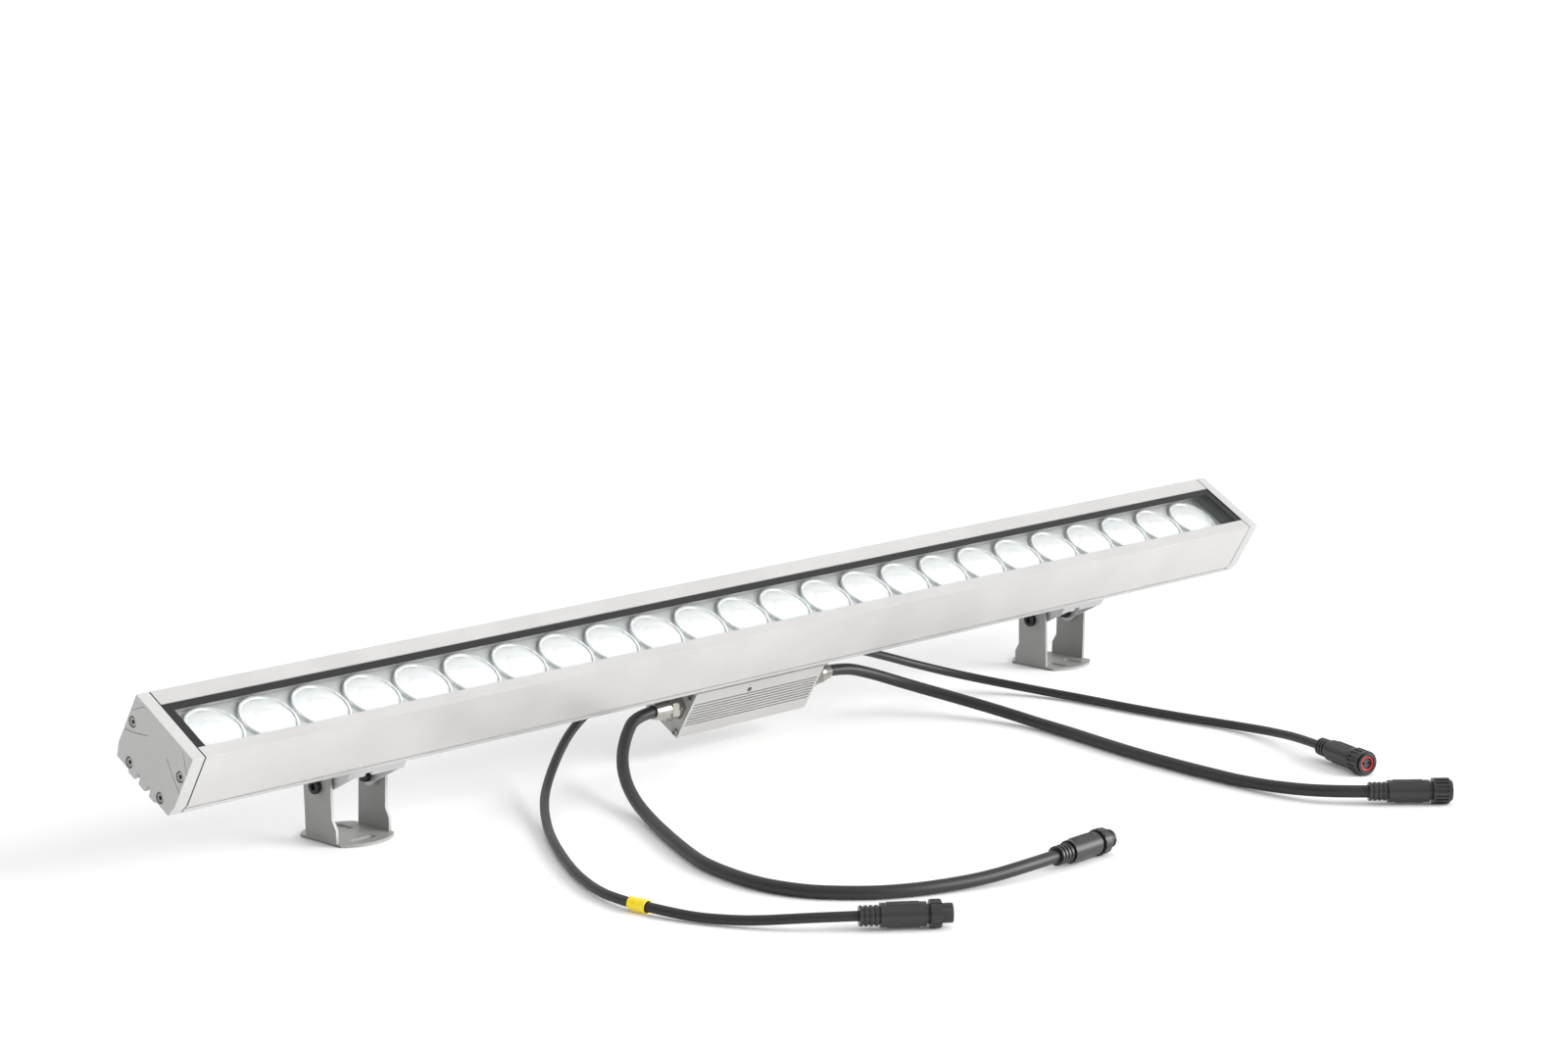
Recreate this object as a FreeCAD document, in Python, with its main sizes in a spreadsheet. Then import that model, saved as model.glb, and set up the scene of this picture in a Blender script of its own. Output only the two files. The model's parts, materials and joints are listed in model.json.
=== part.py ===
"""Outdoor linear wall washer: an extruded lamp that tilts on two folded brackets.

Units are millimetres. The part frame has +X along the lamp, +Y towards its back and +Z up.
The origin is on the floor, under the middle of the lamp's own box.

Lamp pieces are drawn in the lamp's frame: x along the lamp, u from its front edge to its rear
edge, and n straight out through the glass, with n = 0 at the rims. One placement tilts them all.
"""
import FreeCAD, Part
import math
import os

import Sketcher

Vector = FreeCAD.Vector
Placement = FreeCAD.Placement
Rotation = FreeCAD.Rotation
X_AXIS, Y_AXIS, Z_AXIS = Vector(1, 0, 0), Vector(0, 1, 0), Vector(0, 0, 1)
TO_X = Rotation(Y_AXIS, 90)          # turns an axis drawn along z so that it runs along x

# ----------------------------------------------------------------------------- driving sizes
DIMENSIONS = {
    # lamp as a whole
    "overall_length": 1000.0,
    "tilt_angle": 30.39,
    "pivot_height": 35.8,
    "pivot_back": 19.2,              # pivot axis behind the origin
    "pivot_drop": 80.0,              # pivot axis below the rims, along n
    # shared clearances
    "seat_gap": 0.1,
    "free_gap": 0.3,
    "screw_gap": 0.15,
    "running_gap": 0.08,
    # extruded housing
    "housing_half_width": 29.9,
    "housing_depth": 44.8,
    "chamfer_width": 2.5,
    "chamfer_height": 8.2,
    "side_lip_drop": 39.6,
    "side_lip_height": 1.3,
    "side_lip_depth": 0.9,
    "rim_rear_width": 11.8,
    "rim_front_width": 8.9,
    "rim_thickness": 0.9,
    "glass_lap": 3.6,
    "cavity_half_width": 20.5,
    "cavity_depth": 27.0,
    "wall": 2.4,
    "channel_mouth_half": 5.2,
    "channel_mouth_depth": 2.2,
    "channel_half": 8.7,
    "channel_depth": 6.2,
    "side_port_u": 25.0,
    "side_port_n": 17.0,
    "back_port_u": 16.2,
    "back_port_rise": 4.2,            # ports above the housing's back
    "port_wall": 4.5,
    # glass and seal
    "glass_thickness": 3.1,
    "seal_width": 5.6,
    "seal_thickness": 0.4,
    # light engine
    "board_thickness": 1.6,
    "board_half_width": 18.8,
    "board_end_gap": 4.0,
    "chip_side": 3.5,
    "chip_height": 1.0,
    "lens_pitch": 40.0,
    "lens_end_margin": 40.0,         # least distance from the last lens to the end
    "lens_radius": 18.9,
    "lens_drop": 9.5,
    "lens_disc": 2.5,
    "lens_rim": 1.6,
    "lens_dish": 0.9,
    "lens_neck_radius": 17.8,
    "lens_foot_radius": 7.2,
    "tray_thickness": 1.5,
    "tray_leg": 1.1,
    # end caps
    "cap_thickness": 8.8,
    "gasket_thickness": 0.95,
    "gasket_inset": 0.3,
    "cap_skirt": 1.7,                # tabs of the cap below the housing's back
    "cap_tab_half": 3.3,
    "cap_tab_inner": 7.8,
    "cap_tab_outer": 13.5,
    "cap_notch_half": 1.4,
    "cap_notch_rise": 5.9,
    "relief_width": 0.7,
    "relief_depth": 0.5,
    "cap_screw_radius": 1.5,
    "cap_head_radius": 2.75,
    "cap_head_height": 3.0,
    "cap_head_sink": 0.6,
    "cap_bore_gap": 0.8,
    "cap_screw_reach": 10.0,
    # driver box
    "driver_gap": 7.2,
    "driver_half_width": 22.0,
    "driver_height": 37.9,
    "driver_length": 118.2,
    "driver_shift": -0.5,
    "driver_wall": 3.0,
    "driver_side_wall": 4.2,
    "driver_corner": 6.0,
    "fin_band": 9.0,
    "fin_pitch": 2.5,
    "fin_groove": 1.3,
    "fin_depth": 1.9,
    "plate_thickness": 2.2,
    "plate_screw_u": 19.0,
    "plate_screw_top": 4.8,
    "plate_screw_bottom": 2.9,
    "plate_screw_radius": 1.3,
    "plate_head_radius": 2.3,
    "plate_head_height": 1.5,
    "clamp_spacing": 88.0,
    "clamp_length": 14.0,
    "clamp_half_width": 19.0,
    "clamp_screw_u": 13.0,
    "clamp_screw_radius": 2.0,
    "clamp_head_radius": 3.3,
    "clamp_head_height": 2.3,
    "lead_radius": 2.0,
    "conduit_wall": 1.4,
    # cable glands
    "gland_drop": 19.0,
    "gland_half_spacing": 11.0,
    "gland_flats": 15.6,
    "gland_collar": 4.2,
    "gland_thread_radius": 6.0,
    "gland_thread_length": 7.5,
    "gland_nut_hex": 6.5,
    "gland_length": 22.5,
    "gland_tip_radius": 5.4,
    "gland_bore_depth": 8.0,
    # sliders
    "slider_length": 44.8,
    "slider_half_width": 20.0,
    "slider_height": 13.4,
    "lug_thickness": 3.0,
    "lug_spread": 20.1,              # outer faces of the lugs, from the slider's middle
    "eye_radius": 7.0,
    "slider_screw_radius": 2.5,
    "slider_screw_length": 12.0,
    "slider_screw_x": 9.0,
    "slider_screw_u": 13.0,
    # brackets
    "bracket_left_x": -333.0,
    "bracket_right_x": 340.0,
    "sheet": 2.0,
    "base_half_length": 21.8,
    "arm_splay": 1.4,
    "arm_height": 47.0,
    "arm_front": 12.4,
    "arm_rear": 13.1,
    "shoulder_front": 16.0,
    "shoulder_height": 16.3,
    "shoulder_slope": 6.0,
    "arm_corner": 3.0,
    "base_corner_y": 18.8,
    "base_lip": 9.0,
    "bend_radius": 2.0,
    "slot_width": 5.0,
    "cross_slot_length": 19.0,
    "cross_slot_y": 17.0,
    "cross_slot_x": 1.5,
    "long_slot_length": 15.0,
    "long_slot_x": 8.75,
    "long_slot_y": 13.5,
    "pivot_bolt_radius": 2.5,
    "pivot_head_radius": 4.6,
    "pivot_head_height": 2.8,
    "pivot_nut_height": 4.0,
    # cords and their connectors
    "thick_cord": 8.0,
    "thin_cord": 6.0,
    "cord_stub": 23.0,
    "cord_lead": 25.0,
    "connector_height": 8.4,
    "relief_ring_radius": 6.0,
    "relief_ring_depth": 0.8,
    "relief_length": 12.0,
    "grip_radius": 7.1,
    "grip_length": 26.5,
    "grip_flat": 0.6,
    "neck_radius": 5.6,
    "neck_length": 1.7,
    "collar_radius": 8.0,
    "collar_length": 6.7,
    "thread_radius": 5.7,
    "thread_length": 6.7,
    "nose_bore_radius": 5.2,
    "union_radius": 8.25,
    "union_length": 10.8,
    "union_rib_depth": 0.7,
    "tip_radius": 6.0,
    "tip_flange": 0.6,
    "tip_flange_length": 1.5,
    "socket_recess": 2.0,
    "pin_radius": 0.8,
    "pin_half_spacing": 1.9,
    "seal_ring_radius": 0.7,
    "tag_length": 13.0,
    "tag_wall": 0.6,
    "tag_slack": 0.5,
}
LENS_STRIPS = 4
LENSES_PER_STRIP = int(1.001 + (DIMENSIONS["overall_length"] - 2 * DIMENSIONS["lens_end_margin"])
                       / DIMENSIONS["lens_pitch"]) // LENS_STRIPS
LENS_COUNT = LENS_STRIPS * LENSES_PER_STRIP
FIN_COUNT = 8
RELIEF_RINGS = 4
UNION_RIBS = 18

os.makedirs("parts", exist_ok=True)
doc = FreeCAD.newDocument("WallWasher")
sheet = doc.addObject("Spreadsheet::Sheet", "Sizes")
for row, (alias, number) in enumerate(DIMENSIONS.items(), start=1):
    sheet.set("A%d" % row, alias)
    sheet.set("B%d" % row, str(number))
    sheet.setAlias("B%d" % row, alias)
doc.recompute()


# ------------------------------------------------------------------- sizes that carry a formula
class Size:
    """A length with the sheet formula that gives it, so that both stay together."""

    def __init__(self, value, text):
        self.value = float(value)
        self.text = text

    def __add__(self, other):
        other = as_size(other)
        return Size(self.value + other.value, "(%s + %s)" % (self.text, other.text))

    def __radd__(self, other):
        return as_size(other) + self

    def __sub__(self, other):
        other = as_size(other)
        return Size(self.value - other.value, "(%s - %s)" % (self.text, other.text))

    def __rsub__(self, other):
        return as_size(other) - self

    def __mul__(self, other):
        other = as_size(other)
        return Size(self.value * other.value, "(%s * %s)" % (self.text, other.text))

    def __rmul__(self, other):
        return as_size(other) * self

    def __truediv__(self, other):
        other = as_size(other)
        return Size(self.value / other.value, "(%s / %s)" % (self.text, other.text))

    def __neg__(self):
        return Size(-self.value, "(0 - %s)" % self.text)

    def __float__(self):
        return self.value


def as_size(number):
    """Return number as a Size; a plain number is its own formula."""
    return number if isinstance(number, Size) else Size(number, repr(float(number)))


class Sheet:
    """Gives each alias of the spreadsheet as a Size."""

    def __getattr__(self, name):
        return Size(sheet.get(name), "Sizes." + name)


S = Sheet()
ZERO = as_size(0)


def bind(thing, name, size):
    """Set a property of an object and tie it to the sheet."""
    thing.setExpression(name, as_size(size).text)


# --------------------------------------------------------------------------- sketches and bodies
def new_body(name):
    """Start a body for one sub-part."""
    return doc.addObject("PartDesign::Body", name)


def new_sketch(body, plane, offset=0, shift=0):
    """Attach a sketch to one of the body's own origin planes.

    offset moves it along the plane's normal and shift along its first axis.
    """
    sketch = body.newObject("Sketcher::SketchObject", body.Name + "_sketch")
    support = next(f for f in body.Origin.OriginFeatures if f.Role == plane)
    sketch.AttachmentSupport = [(support, "")]
    sketch.MapMode = "FlatFace"
    bind(sketch, "AttachmentOffset.Base.z", offset)
    bind(sketch, "AttachmentOffset.Base.x", shift)
    return sketch


def pin_point(sketch, edge, end, point):
    """Hold one end of an edge at a point given by two sizes."""
    for kind, size in (("DistanceX", point[0]), ("DistanceY", point[1])):
        size = as_size(size)
        index = sketch.addConstraint(Sketcher.Constraint(kind, -1, 1, edge, end, size.value))
        sketch.setExpression("Constraints[%d]" % index, size.text)


def add_loop(sketch, corners):
    """Draw a closed loop through corners, counter-clockwise.

    A corner is (x, y), or (x, y, bulge) where the edge that leaves it is an arc that stands out
    of its chord by bulge; such a chord is level or upright.
    """
    first = sketch.GeometryCount
    count = len(corners)
    ends = []
    for index, corner in enumerate(corners):
        a = Vector(float(corner[0]), float(corner[1]), 0)
        following = corners[(index + 1) % count]
        b = Vector(float(following[0]), float(following[1]), 0)
        if len(corner) == 2:
            sketch.addGeometry(Part.LineSegment(a, b), False)
        else:
            bulge = float(corner[2])
            chord = b - a
            out = Vector(chord.y, -chord.x, 0).normalize()
            radius = chord.Length ** 2 / (8 * bulge) + bulge / 2
            centre = (a + b) / 2 + out * (bulge - radius)
            start = math.atan2(a.y - centre.y, a.x - centre.x)
            stop = math.atan2(b.y - centre.y, b.x - centre.x)
            if stop < start:
                stop += 2 * math.pi
            circle = Part.Circle(centre, Z_AXIS, radius)
            sketch.addGeometry(Part.ArcOfCircle(circle, start, stop), False)
        ends.append(first + index)
    for index in range(count):
        following = (index + 1) % count
        sketch.addConstraint(Sketcher.Constraint("Coincident", ends[index], 2, ends[following], 1))
        pin_point(sketch, ends[index], 1, corners[index])
        if len(corners[index]) == 3:
            hold_arc(sketch, ends[index], corners[index], corners[following])


def hold_arc(sketch, edge, start, stop):
    """Hold the centre of an arc whose chord runs along one of the sketch's axes."""
    bulge = as_size(start[2])
    level = abs(float(stop[1]) - float(start[1])) < 1e-6
    lane = 0 if level else 1
    chord = as_size(stop[lane]) - start[lane]
    outward = (-1 if level else 1) * (1 if float(chord) > 0 else -1)
    drop = chord * chord / (8 * bulge) - bulge / 2
    centre = start[1 - lane] - outward * drop
    kind = "DistanceY" if level else "DistanceX"
    index = sketch.addConstraint(Sketcher.Constraint(kind, -1, 1, edge, 3, centre.value))
    sketch.setExpression("Constraints[%d]" % index, centre.text)


def add_circle(sketch, x, y, radius):
    """Draw a circle whose centre and radius are tied to sizes."""
    radius = as_size(radius)
    centre = Vector(float(x), float(y), 0)
    edge = sketch.addGeometry(Part.Circle(centre, Z_AXIS, radius.value), False)
    pin_point(sketch, edge, 3, (x, y))
    index = sketch.addConstraint(Sketcher.Constraint("Radius", edge, radius.value))
    sketch.setExpression("Constraints[%d]" % index, radius.text)


def add_slot(sketch, x, y, length, width, along_x):
    """Draw a round-ended slot."""
    end = width / 2
    run = length / 2 - end
    if along_x:
        add_loop(sketch, [(x - run, y - end), (x + run, y - end, end),
                          (x + run, y + end), (x - run, y + end, end)])
    else:
        add_loop(sketch, [(x - end, y + run), (x - end, y - run, end),
                          (x + end, y - run), (x + end, y + run, end)])


def rectangle(x0, y0, x1, y1):
    """Return the corners of a rectangle from its low and high corners."""
    return [(x0, y0), (x1, y0), (x1, y1), (x0, y1)]


def mirrored(half):
    """Complete a loop from its right half, whose corners run counter-clockwise."""
    return half + [(-x, y) for x, y in reversed(half)]


def pad(body, sketch, length, reverse=False, middle=False):
    """Raise a sketch."""
    feature = body.newObject("PartDesign::Pad", body.Name + "_pad")
    feature.Profile = sketch
    bind(feature, "Length", length)
    feature.Reversed = reverse
    if middle:
        feature.SideType = "Symmetric"
    sketch.Visibility = False
    return feature


def pocket(body, sketch, depth=None, reverse=False, both_ways=False):
    """Cut a sketch out of the body, to a depth or right through, and make sure that it cuts."""
    doc.recompute()
    before = body.Shape.Volume
    feature = body.newObject("PartDesign::Pocket", body.Name + "_pocket")
    feature.Profile = sketch
    feature.Reversed = reverse
    if both_ways:
        feature.SideType = "Symmetric"
    if depth is None:
        feature.Type = "ThroughAll"
    else:
        bind(feature, "Length", depth)
    doc.recompute()
    if not body.Shape.Volume < before:
        raise RuntimeError(body.Name + ": a pocket cuts nothing")
    return feature


def revolve(body, sketch, axis):
    """Turn a sketch once round its own H_Axis or V_Axis."""
    feature = body.newObject("PartDesign::Revolution", body.Name + "_revolution")
    feature.Profile = sketch
    feature.ReferenceAxis = (sketch, [axis])
    feature.Angle = 360
    return feature


# --------------------------------------------------------------------------------- primitives
def set_place(thing, x=0, y=0, z=0, rotation=None):
    """Place a primitive, with each coordinate tied to the sheet."""
    if rotation is not None:
        thing.Placement = Placement(Vector(0, 0, 0), rotation)
    for letter, size in (("x", x), ("y", y), ("z", z)):
        bind(thing, "Placement.Base." + letter, size)
    return thing


def cylinder(name, radius, length, x=0, y=0, z=0, rotation=None):
    """Make a cylinder that starts at the given point and runs along z, or as rotation says."""
    thing = doc.addObject("Part::Cylinder", name)
    bind(thing, "Radius", radius)
    bind(thing, "Height", length)
    return set_place(thing, x, y, z, rotation)


def prism(name, flats, length, x=0, y=0, z=0, rotation=None):
    """Make a hexagonal bar of the given width across flats."""
    thing = doc.addObject("Part::Prism", name)
    thing.Polygon = 6
    bind(thing, "Circumradius", as_size(flats) / math.sqrt(3))
    bind(thing, "Height", length)
    return set_place(thing, x, y, z, rotation)


def box(name, low, high):
    """Make a box from its low and high corners."""
    thing = doc.addObject("Part::Box", name)
    for letter, index in (("Length", 0), ("Width", 1), ("Height", 2)):
        bind(thing, letter, as_size(high[index]) - low[index])
    return set_place(thing, *low)


def fuse(name, pieces):
    """Join pieces into one solid."""
    thing = doc.addObject("Part::MultiFuse", name)
    thing.Shapes = pieces
    return thing


def cut(name, base, tool):
    """Cut one object out of another."""
    thing = doc.addObject("Part::Cut", name)
    thing.Base = base
    thing.Tool = tool
    return thing


def group(name, pieces):
    """Keep separate solids together as one sub-part."""
    thing = doc.addObject("Part::Compound", name)
    thing.Links = pieces
    return thing


def socket_screw(name, radius, reach, head_radius, head_height, x, y, z, rotation=None):
    """Make a cylinder-head screw with a hexagonal socket.

    The point given is under the head's middle. The head stands along the rotated z axis, and the
    shank runs the other way for reach.
    """
    head = cylinder(name + "_head", head_radius, head_height)
    shank = cylinder(name + "_shank", radius, reach, z=-as_size(reach))
    whole = fuse(name + "_blank", [head, shank])
    key = prism(name + "_key", radius * 1.7, head_height, z=head_height * 0.45)
    return set_place(cut(name, whole, key), x, y, z, rotation)


# ------------------------------------------------------------------------------ finished pieces
finished = {}


def finish(node, thing, placement=None):
    """Name a sub-part and put it in its place in the part frame."""
    if node in finished:
        raise RuntimeError(node + " is named twice")
    if any("Placement" in path for path, _ in thing.ExpressionEngine):
        thing = group(thing.Name + "_whole", [thing])
    thing.Label = node
    if placement is not None:
        thing.Placement = placement.multiply(thing.Placement)
    finished[node] = thing
    return thing


def lamp_frame(x=0, u=0, n=0, rotation=None):
    """Return the placement of a point of the lamp's frame in the part frame."""
    tilt = Rotation(X_AXIS, float(S.tilt_angle))
    pivot = Placement(Vector(0, float(S.pivot_back), float(S.pivot_height)), tilt)
    local = Vector(float(x), float(u), float(S.pivot_drop) + float(n))
    return pivot.multiply(Placement(local, rotation or Rotation()))


extrusion_length = S.overall_length - 2 * (S.cap_thickness + S.gasket_thickness)
half_extrusion = extrusion_length / 2
glass_top = -(S.rim_thickness + S.seat_gap)
glass_bottom = glass_top - S.glass_thickness
rear_rim = S.housing_half_width - S.rim_rear_width
front_rim = -(S.housing_half_width - S.rim_front_width)
board_top = S.board_thickness - S.cavity_depth
driver_top = -(S.housing_depth + S.driver_gap)
driver_bottom = driver_top - S.driver_height
driver_start = S.driver_shift - S.driver_length / 2
driver_end = driver_start + S.driver_length
screw_ports = [(side * u, -n) for u, n in ((S.side_port_u, S.side_port_n),
                                           (S.back_port_u, (S.housing_depth - S.back_port_rise))) for side in (-1, 1)]
lens_places = [S.lens_pitch * (index - (LENS_COUNT - 1) / 2) for index in range(LENS_COUNT)]
board_screw_places = [S.lens_pitch * step for step in (-11, -7, -3, 3, 7, 11)]
clamp_places = [S.driver_shift + side * S.clamp_spacing / 2 for side in (-1, 1)]


# ------------------------------------------------------------------------------------- housing
def build_housing():
    """Extruded housing: open front, screw ports, hollow walls and a T channel along its back."""
    body = new_body("Housing")
    sketch = new_sketch(body, "YZ_Plane")
    side = S.housing_half_width
    shoulder = -(S.housing_depth - S.chamfer_height)
    lip_top = -S.side_lip_drop
    lip_bottom = lip_top - S.side_lip_height
    slope = S.chamfer_width / S.chamfer_height
    lip_u = side - slope * (S.side_lip_drop - (S.housing_depth - S.chamfer_height))
    lip_low_u = lip_u - slope * S.side_lip_height
    channel_roof = S.channel_depth - S.housing_depth
    mouth = S.channel_mouth_depth - S.housing_depth
    half = [(S.channel_half, channel_roof), (S.channel_half, mouth),
            (S.channel_mouth_half, mouth), (S.channel_mouth_half, -S.housing_depth),
            (side - S.chamfer_width, -S.housing_depth), (lip_low_u, lip_bottom),
            (lip_low_u - S.side_lip_depth, lip_bottom), (lip_u - S.side_lip_depth, lip_top),
            (lip_u, lip_top), (side, shoulder), (side, ZERO)]
    slot_top = -S.rim_thickness
    slot_bottom = glass_bottom - S.seat_gap
    rear = [(rear_rim, ZERO), (rear_rim, slot_top), (rear_rim + S.glass_lap, slot_top),
            (rear_rim + S.glass_lap, slot_bottom), (S.cavity_half_width, slot_bottom),
            (S.cavity_half_width, -S.cavity_depth)]
    front = [(-S.cavity_half_width, -S.cavity_depth), (-S.cavity_half_width, slot_bottom),
             (front_rim - S.glass_lap, slot_bottom), (front_rim - S.glass_lap, slot_top),
             (front_rim, slot_top), (front_rim, ZERO)]
    left = [(-x, y) for x, y in reversed(half)]
    add_loop(sketch, half + rear + front + left)

    inner = S.cavity_half_width + S.wall
    outer = side - S.wall * 0.8
    web_top = -(S.cavity_depth + S.wall)
    back_top = channel_roof + S.wall
    for flip in (-1, 1):
        for low, high in ((-(S.side_port_n - S.port_wall), slot_bottom - S.wall),
                          (web_top + S.wall, -(S.side_port_n + S.port_wall))):
            ends = sorted((flip * inner, flip * outer), key=float)
            add_loop(sketch, rectangle(ends[0], low, ends[1], high))
        ends = sorted((flip * (S.channel_half + S.wall), flip * outer), key=float)
        add_loop(sketch, rectangle(ends[0], back_top, ends[1], web_top))
        port = S.back_port_u + S.port_wall
        ends = sorted((flip * port, flip * (lip_low_u - S.side_lip_depth - S.wall)), key=float)
        add_loop(sketch, rectangle(ends[0], S.wall - S.housing_depth, ends[1],
                                   back_top - S.wall))
    add_loop(sketch, rectangle(-S.channel_half, back_top, S.channel_half, web_top))
    for u, n in screw_ports:
        add_circle(sketch, u, n, S.cap_screw_radius + S.screw_gap)
    pad(body, sketch, extrusion_length, middle=True)

    holes = new_sketch(body, "XY_Plane", offset=-S.cavity_depth)
    for x in board_screw_places:
        add_circle(holes, x, ZERO, S.cap_screw_radius + S.screw_gap)
    pocket(body, holes, S.wall)
    lead = new_sketch(body, "XY_Plane", offset=-S.cavity_depth)
    add_circle(lead, S.driver_shift, ZERO, S.lead_radius + S.conduit_wall + S.free_gap * 2)
    pocket(body, lead)
    return finish("housing", body, lamp_frame())


def build_glass():
    """Clear front pane, slid into the slot under the rims."""
    body = new_body("CoverGlass")
    sketch = new_sketch(body, "YZ_Plane")
    lap = S.glass_lap - S.screw_gap
    add_loop(sketch, rectangle(front_rim - lap, glass_bottom, rear_rim + lap, glass_top))
    pad(body, sketch, extrusion_length - 2 * S.free_gap, middle=True)
    return finish("cover_glass", body, lamp_frame())


def build_seal():
    """Silicone bead on the glass, along the rear rim and across both ends."""
    body = new_body("GlassSeal")
    sketch = new_sketch(body, "XY_Plane", offset=glass_top)
    end = half_extrusion - S.free_gap
    inner = end - S.seal_width
    front = front_rim + S.seat_gap
    rear = rear_rim - S.seat_gap
    add_loop(sketch, [(-end, front), (-inner, front), (-inner, rear - S.seal_width),
                      (inner, rear - S.seal_width), (inner, front), (end, front),
                      (end, rear), (-end, rear)])
    pad(body, sketch, S.seal_thickness)
    return finish("glass_seal", body, lamp_frame())


# -------------------------------------------------------------------------------- light engine
def build_light_engine():
    """Circuit board, its screws, the emitters, the lens tray and the lenses."""
    board = new_body("LedBoard")
    sketch = new_sketch(board, "XY_Plane", offset=-S.cavity_depth)
    end = half_extrusion - S.board_end_gap
    add_loop(sketch, rectangle(-end, -S.board_half_width, end, S.board_half_width))
    for x in board_screw_places:
        add_circle(sketch, x, ZERO, S.cap_screw_radius + S.screw_gap)
    add_circle(sketch, S.driver_shift, ZERO, S.lead_radius + S.free_gap)
    pad(board, sketch, S.board_thickness)
    finish("led_board", board, lamp_frame())

    screws = [socket_screw("BoardScrew%d" % index, S.cap_screw_radius,
                           S.board_thickness + S.wall * 0.8, S.cap_head_radius,
                           S.board_thickness, x, ZERO, board_top)
              for index, x in enumerate(board_screw_places)]
    finish("board_screws", group("BoardScrews", screws), lamp_frame())

    half = S.chip_side / 2
    chips = [box("Chip%d" % index, (x - half, -half, board_top),
                 (x + half, half, board_top + S.chip_height))
             for index, x in enumerate(lens_places)]
    finish("led_chips", group("LedChips", chips), lamp_frame())

    seat = -(S.lens_drop + S.lens_disc)
    tray = new_body("LensTray")
    profile = new_sketch(tray, "YZ_Plane")
    side = S.cavity_half_width - S.free_gap
    inner = side - S.tray_leg
    foot = -S.cavity_depth
    under = seat - S.tray_thickness
    add_loop(profile, [(-side, foot), (-inner, foot), (-inner, under), (inner, under),
                       (inner, foot), (side, foot), (side, seat), (-side, seat)])
    pad(tray, profile, 2 * end, middle=True)
    holes = new_sketch(tray, "XY_Plane", offset=seat)
    for x in lens_places:
        add_circle(holes, x, ZERO, S.lens_neck_radius + S.free_gap)
    pocket(tray, holes, S.tray_thickness * 1.5)
    finish("lens_tray", tray, lamp_frame())

    dish = -(S.lens_drop + S.lens_dish)
    foot = board_top + S.chip_height + S.free_gap
    chip_room = S.chip_side * 0.75
    for strip in range(LENS_STRIPS):
        lens = new_body("LensStrip%d" % (strip + 1))
        outline = new_sketch(lens, "XZ_Plane", shift=lens_places[strip * LENSES_PER_STRIP])
        add_loop(outline, [(ZERO, foot + S.chip_height), (chip_room, foot + S.chip_height),
                           (chip_room, foot), (S.lens_foot_radius, foot),
                           (S.lens_neck_radius, seat), (S.lens_radius, seat),
                           (S.lens_radius, -S.lens_drop),
                           (S.lens_radius - S.lens_rim, -S.lens_drop),
                           (S.lens_radius - S.lens_rim, dish), (ZERO, dish)])
        turned = revolve(lens, outline, "V_Axis")
        copies = lens.newObject("PartDesign::LinearPattern", "LensRow%d" % (strip + 1))
        copies.Originals = [turned]
        copies.Direction = (next(f for f in lens.Origin.OriginFeatures if f.Role == "X_Axis"), [""])
        copies.Occurrences = LENSES_PER_STRIP
        bind(copies, "Length", S.lens_pitch * (LENSES_PER_STRIP - 1))
        lens.Tip = copies
        finish("lens_strip_%d" % (strip + 1), lens, lamp_frame())


# ------------------------------------------------------------------------------------ end caps
def cap_outline():
    """Return the cap's outline, counter-clockwise from the middle of its lower edge."""
    side = S.housing_half_width - S.seat_gap
    low = -(S.housing_depth + S.cap_skirt)
    notch_top = low + S.cap_notch_rise
    notch_u = (S.cap_tab_half + S.cap_tab_inner) / 2
    half = [(S.cap_tab_half, low), (notch_u - S.cap_notch_half, notch_top),
            (notch_u + S.cap_notch_half, notch_top), (S.cap_tab_inner, low),
            (S.cap_tab_outer, low), (S.cap_tab_outer + S.cap_skirt, -S.housing_depth),
            (side - S.chamfer_width, -S.housing_depth),
            (side, -(S.housing_depth - S.chamfer_height)), (side, ZERO)]
    return mirrored(half)


def relief_strip(start, stop):
    """Return a narrow strip between two points of the cap's face, as a loop."""
    lift = S.relief_width / 2
    if float(stop[0]) > float(start[0]):
        return [(start[0], start[1] - lift), (stop[0], stop[1] - lift),
                (stop[0], stop[1] + lift), (start[0], start[1] + lift)]
    return [(stop[0], stop[1] - lift), (start[0], start[1] - lift),
            (start[0], start[1] + lift), (stop[0], stop[1] + lift)]


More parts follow.
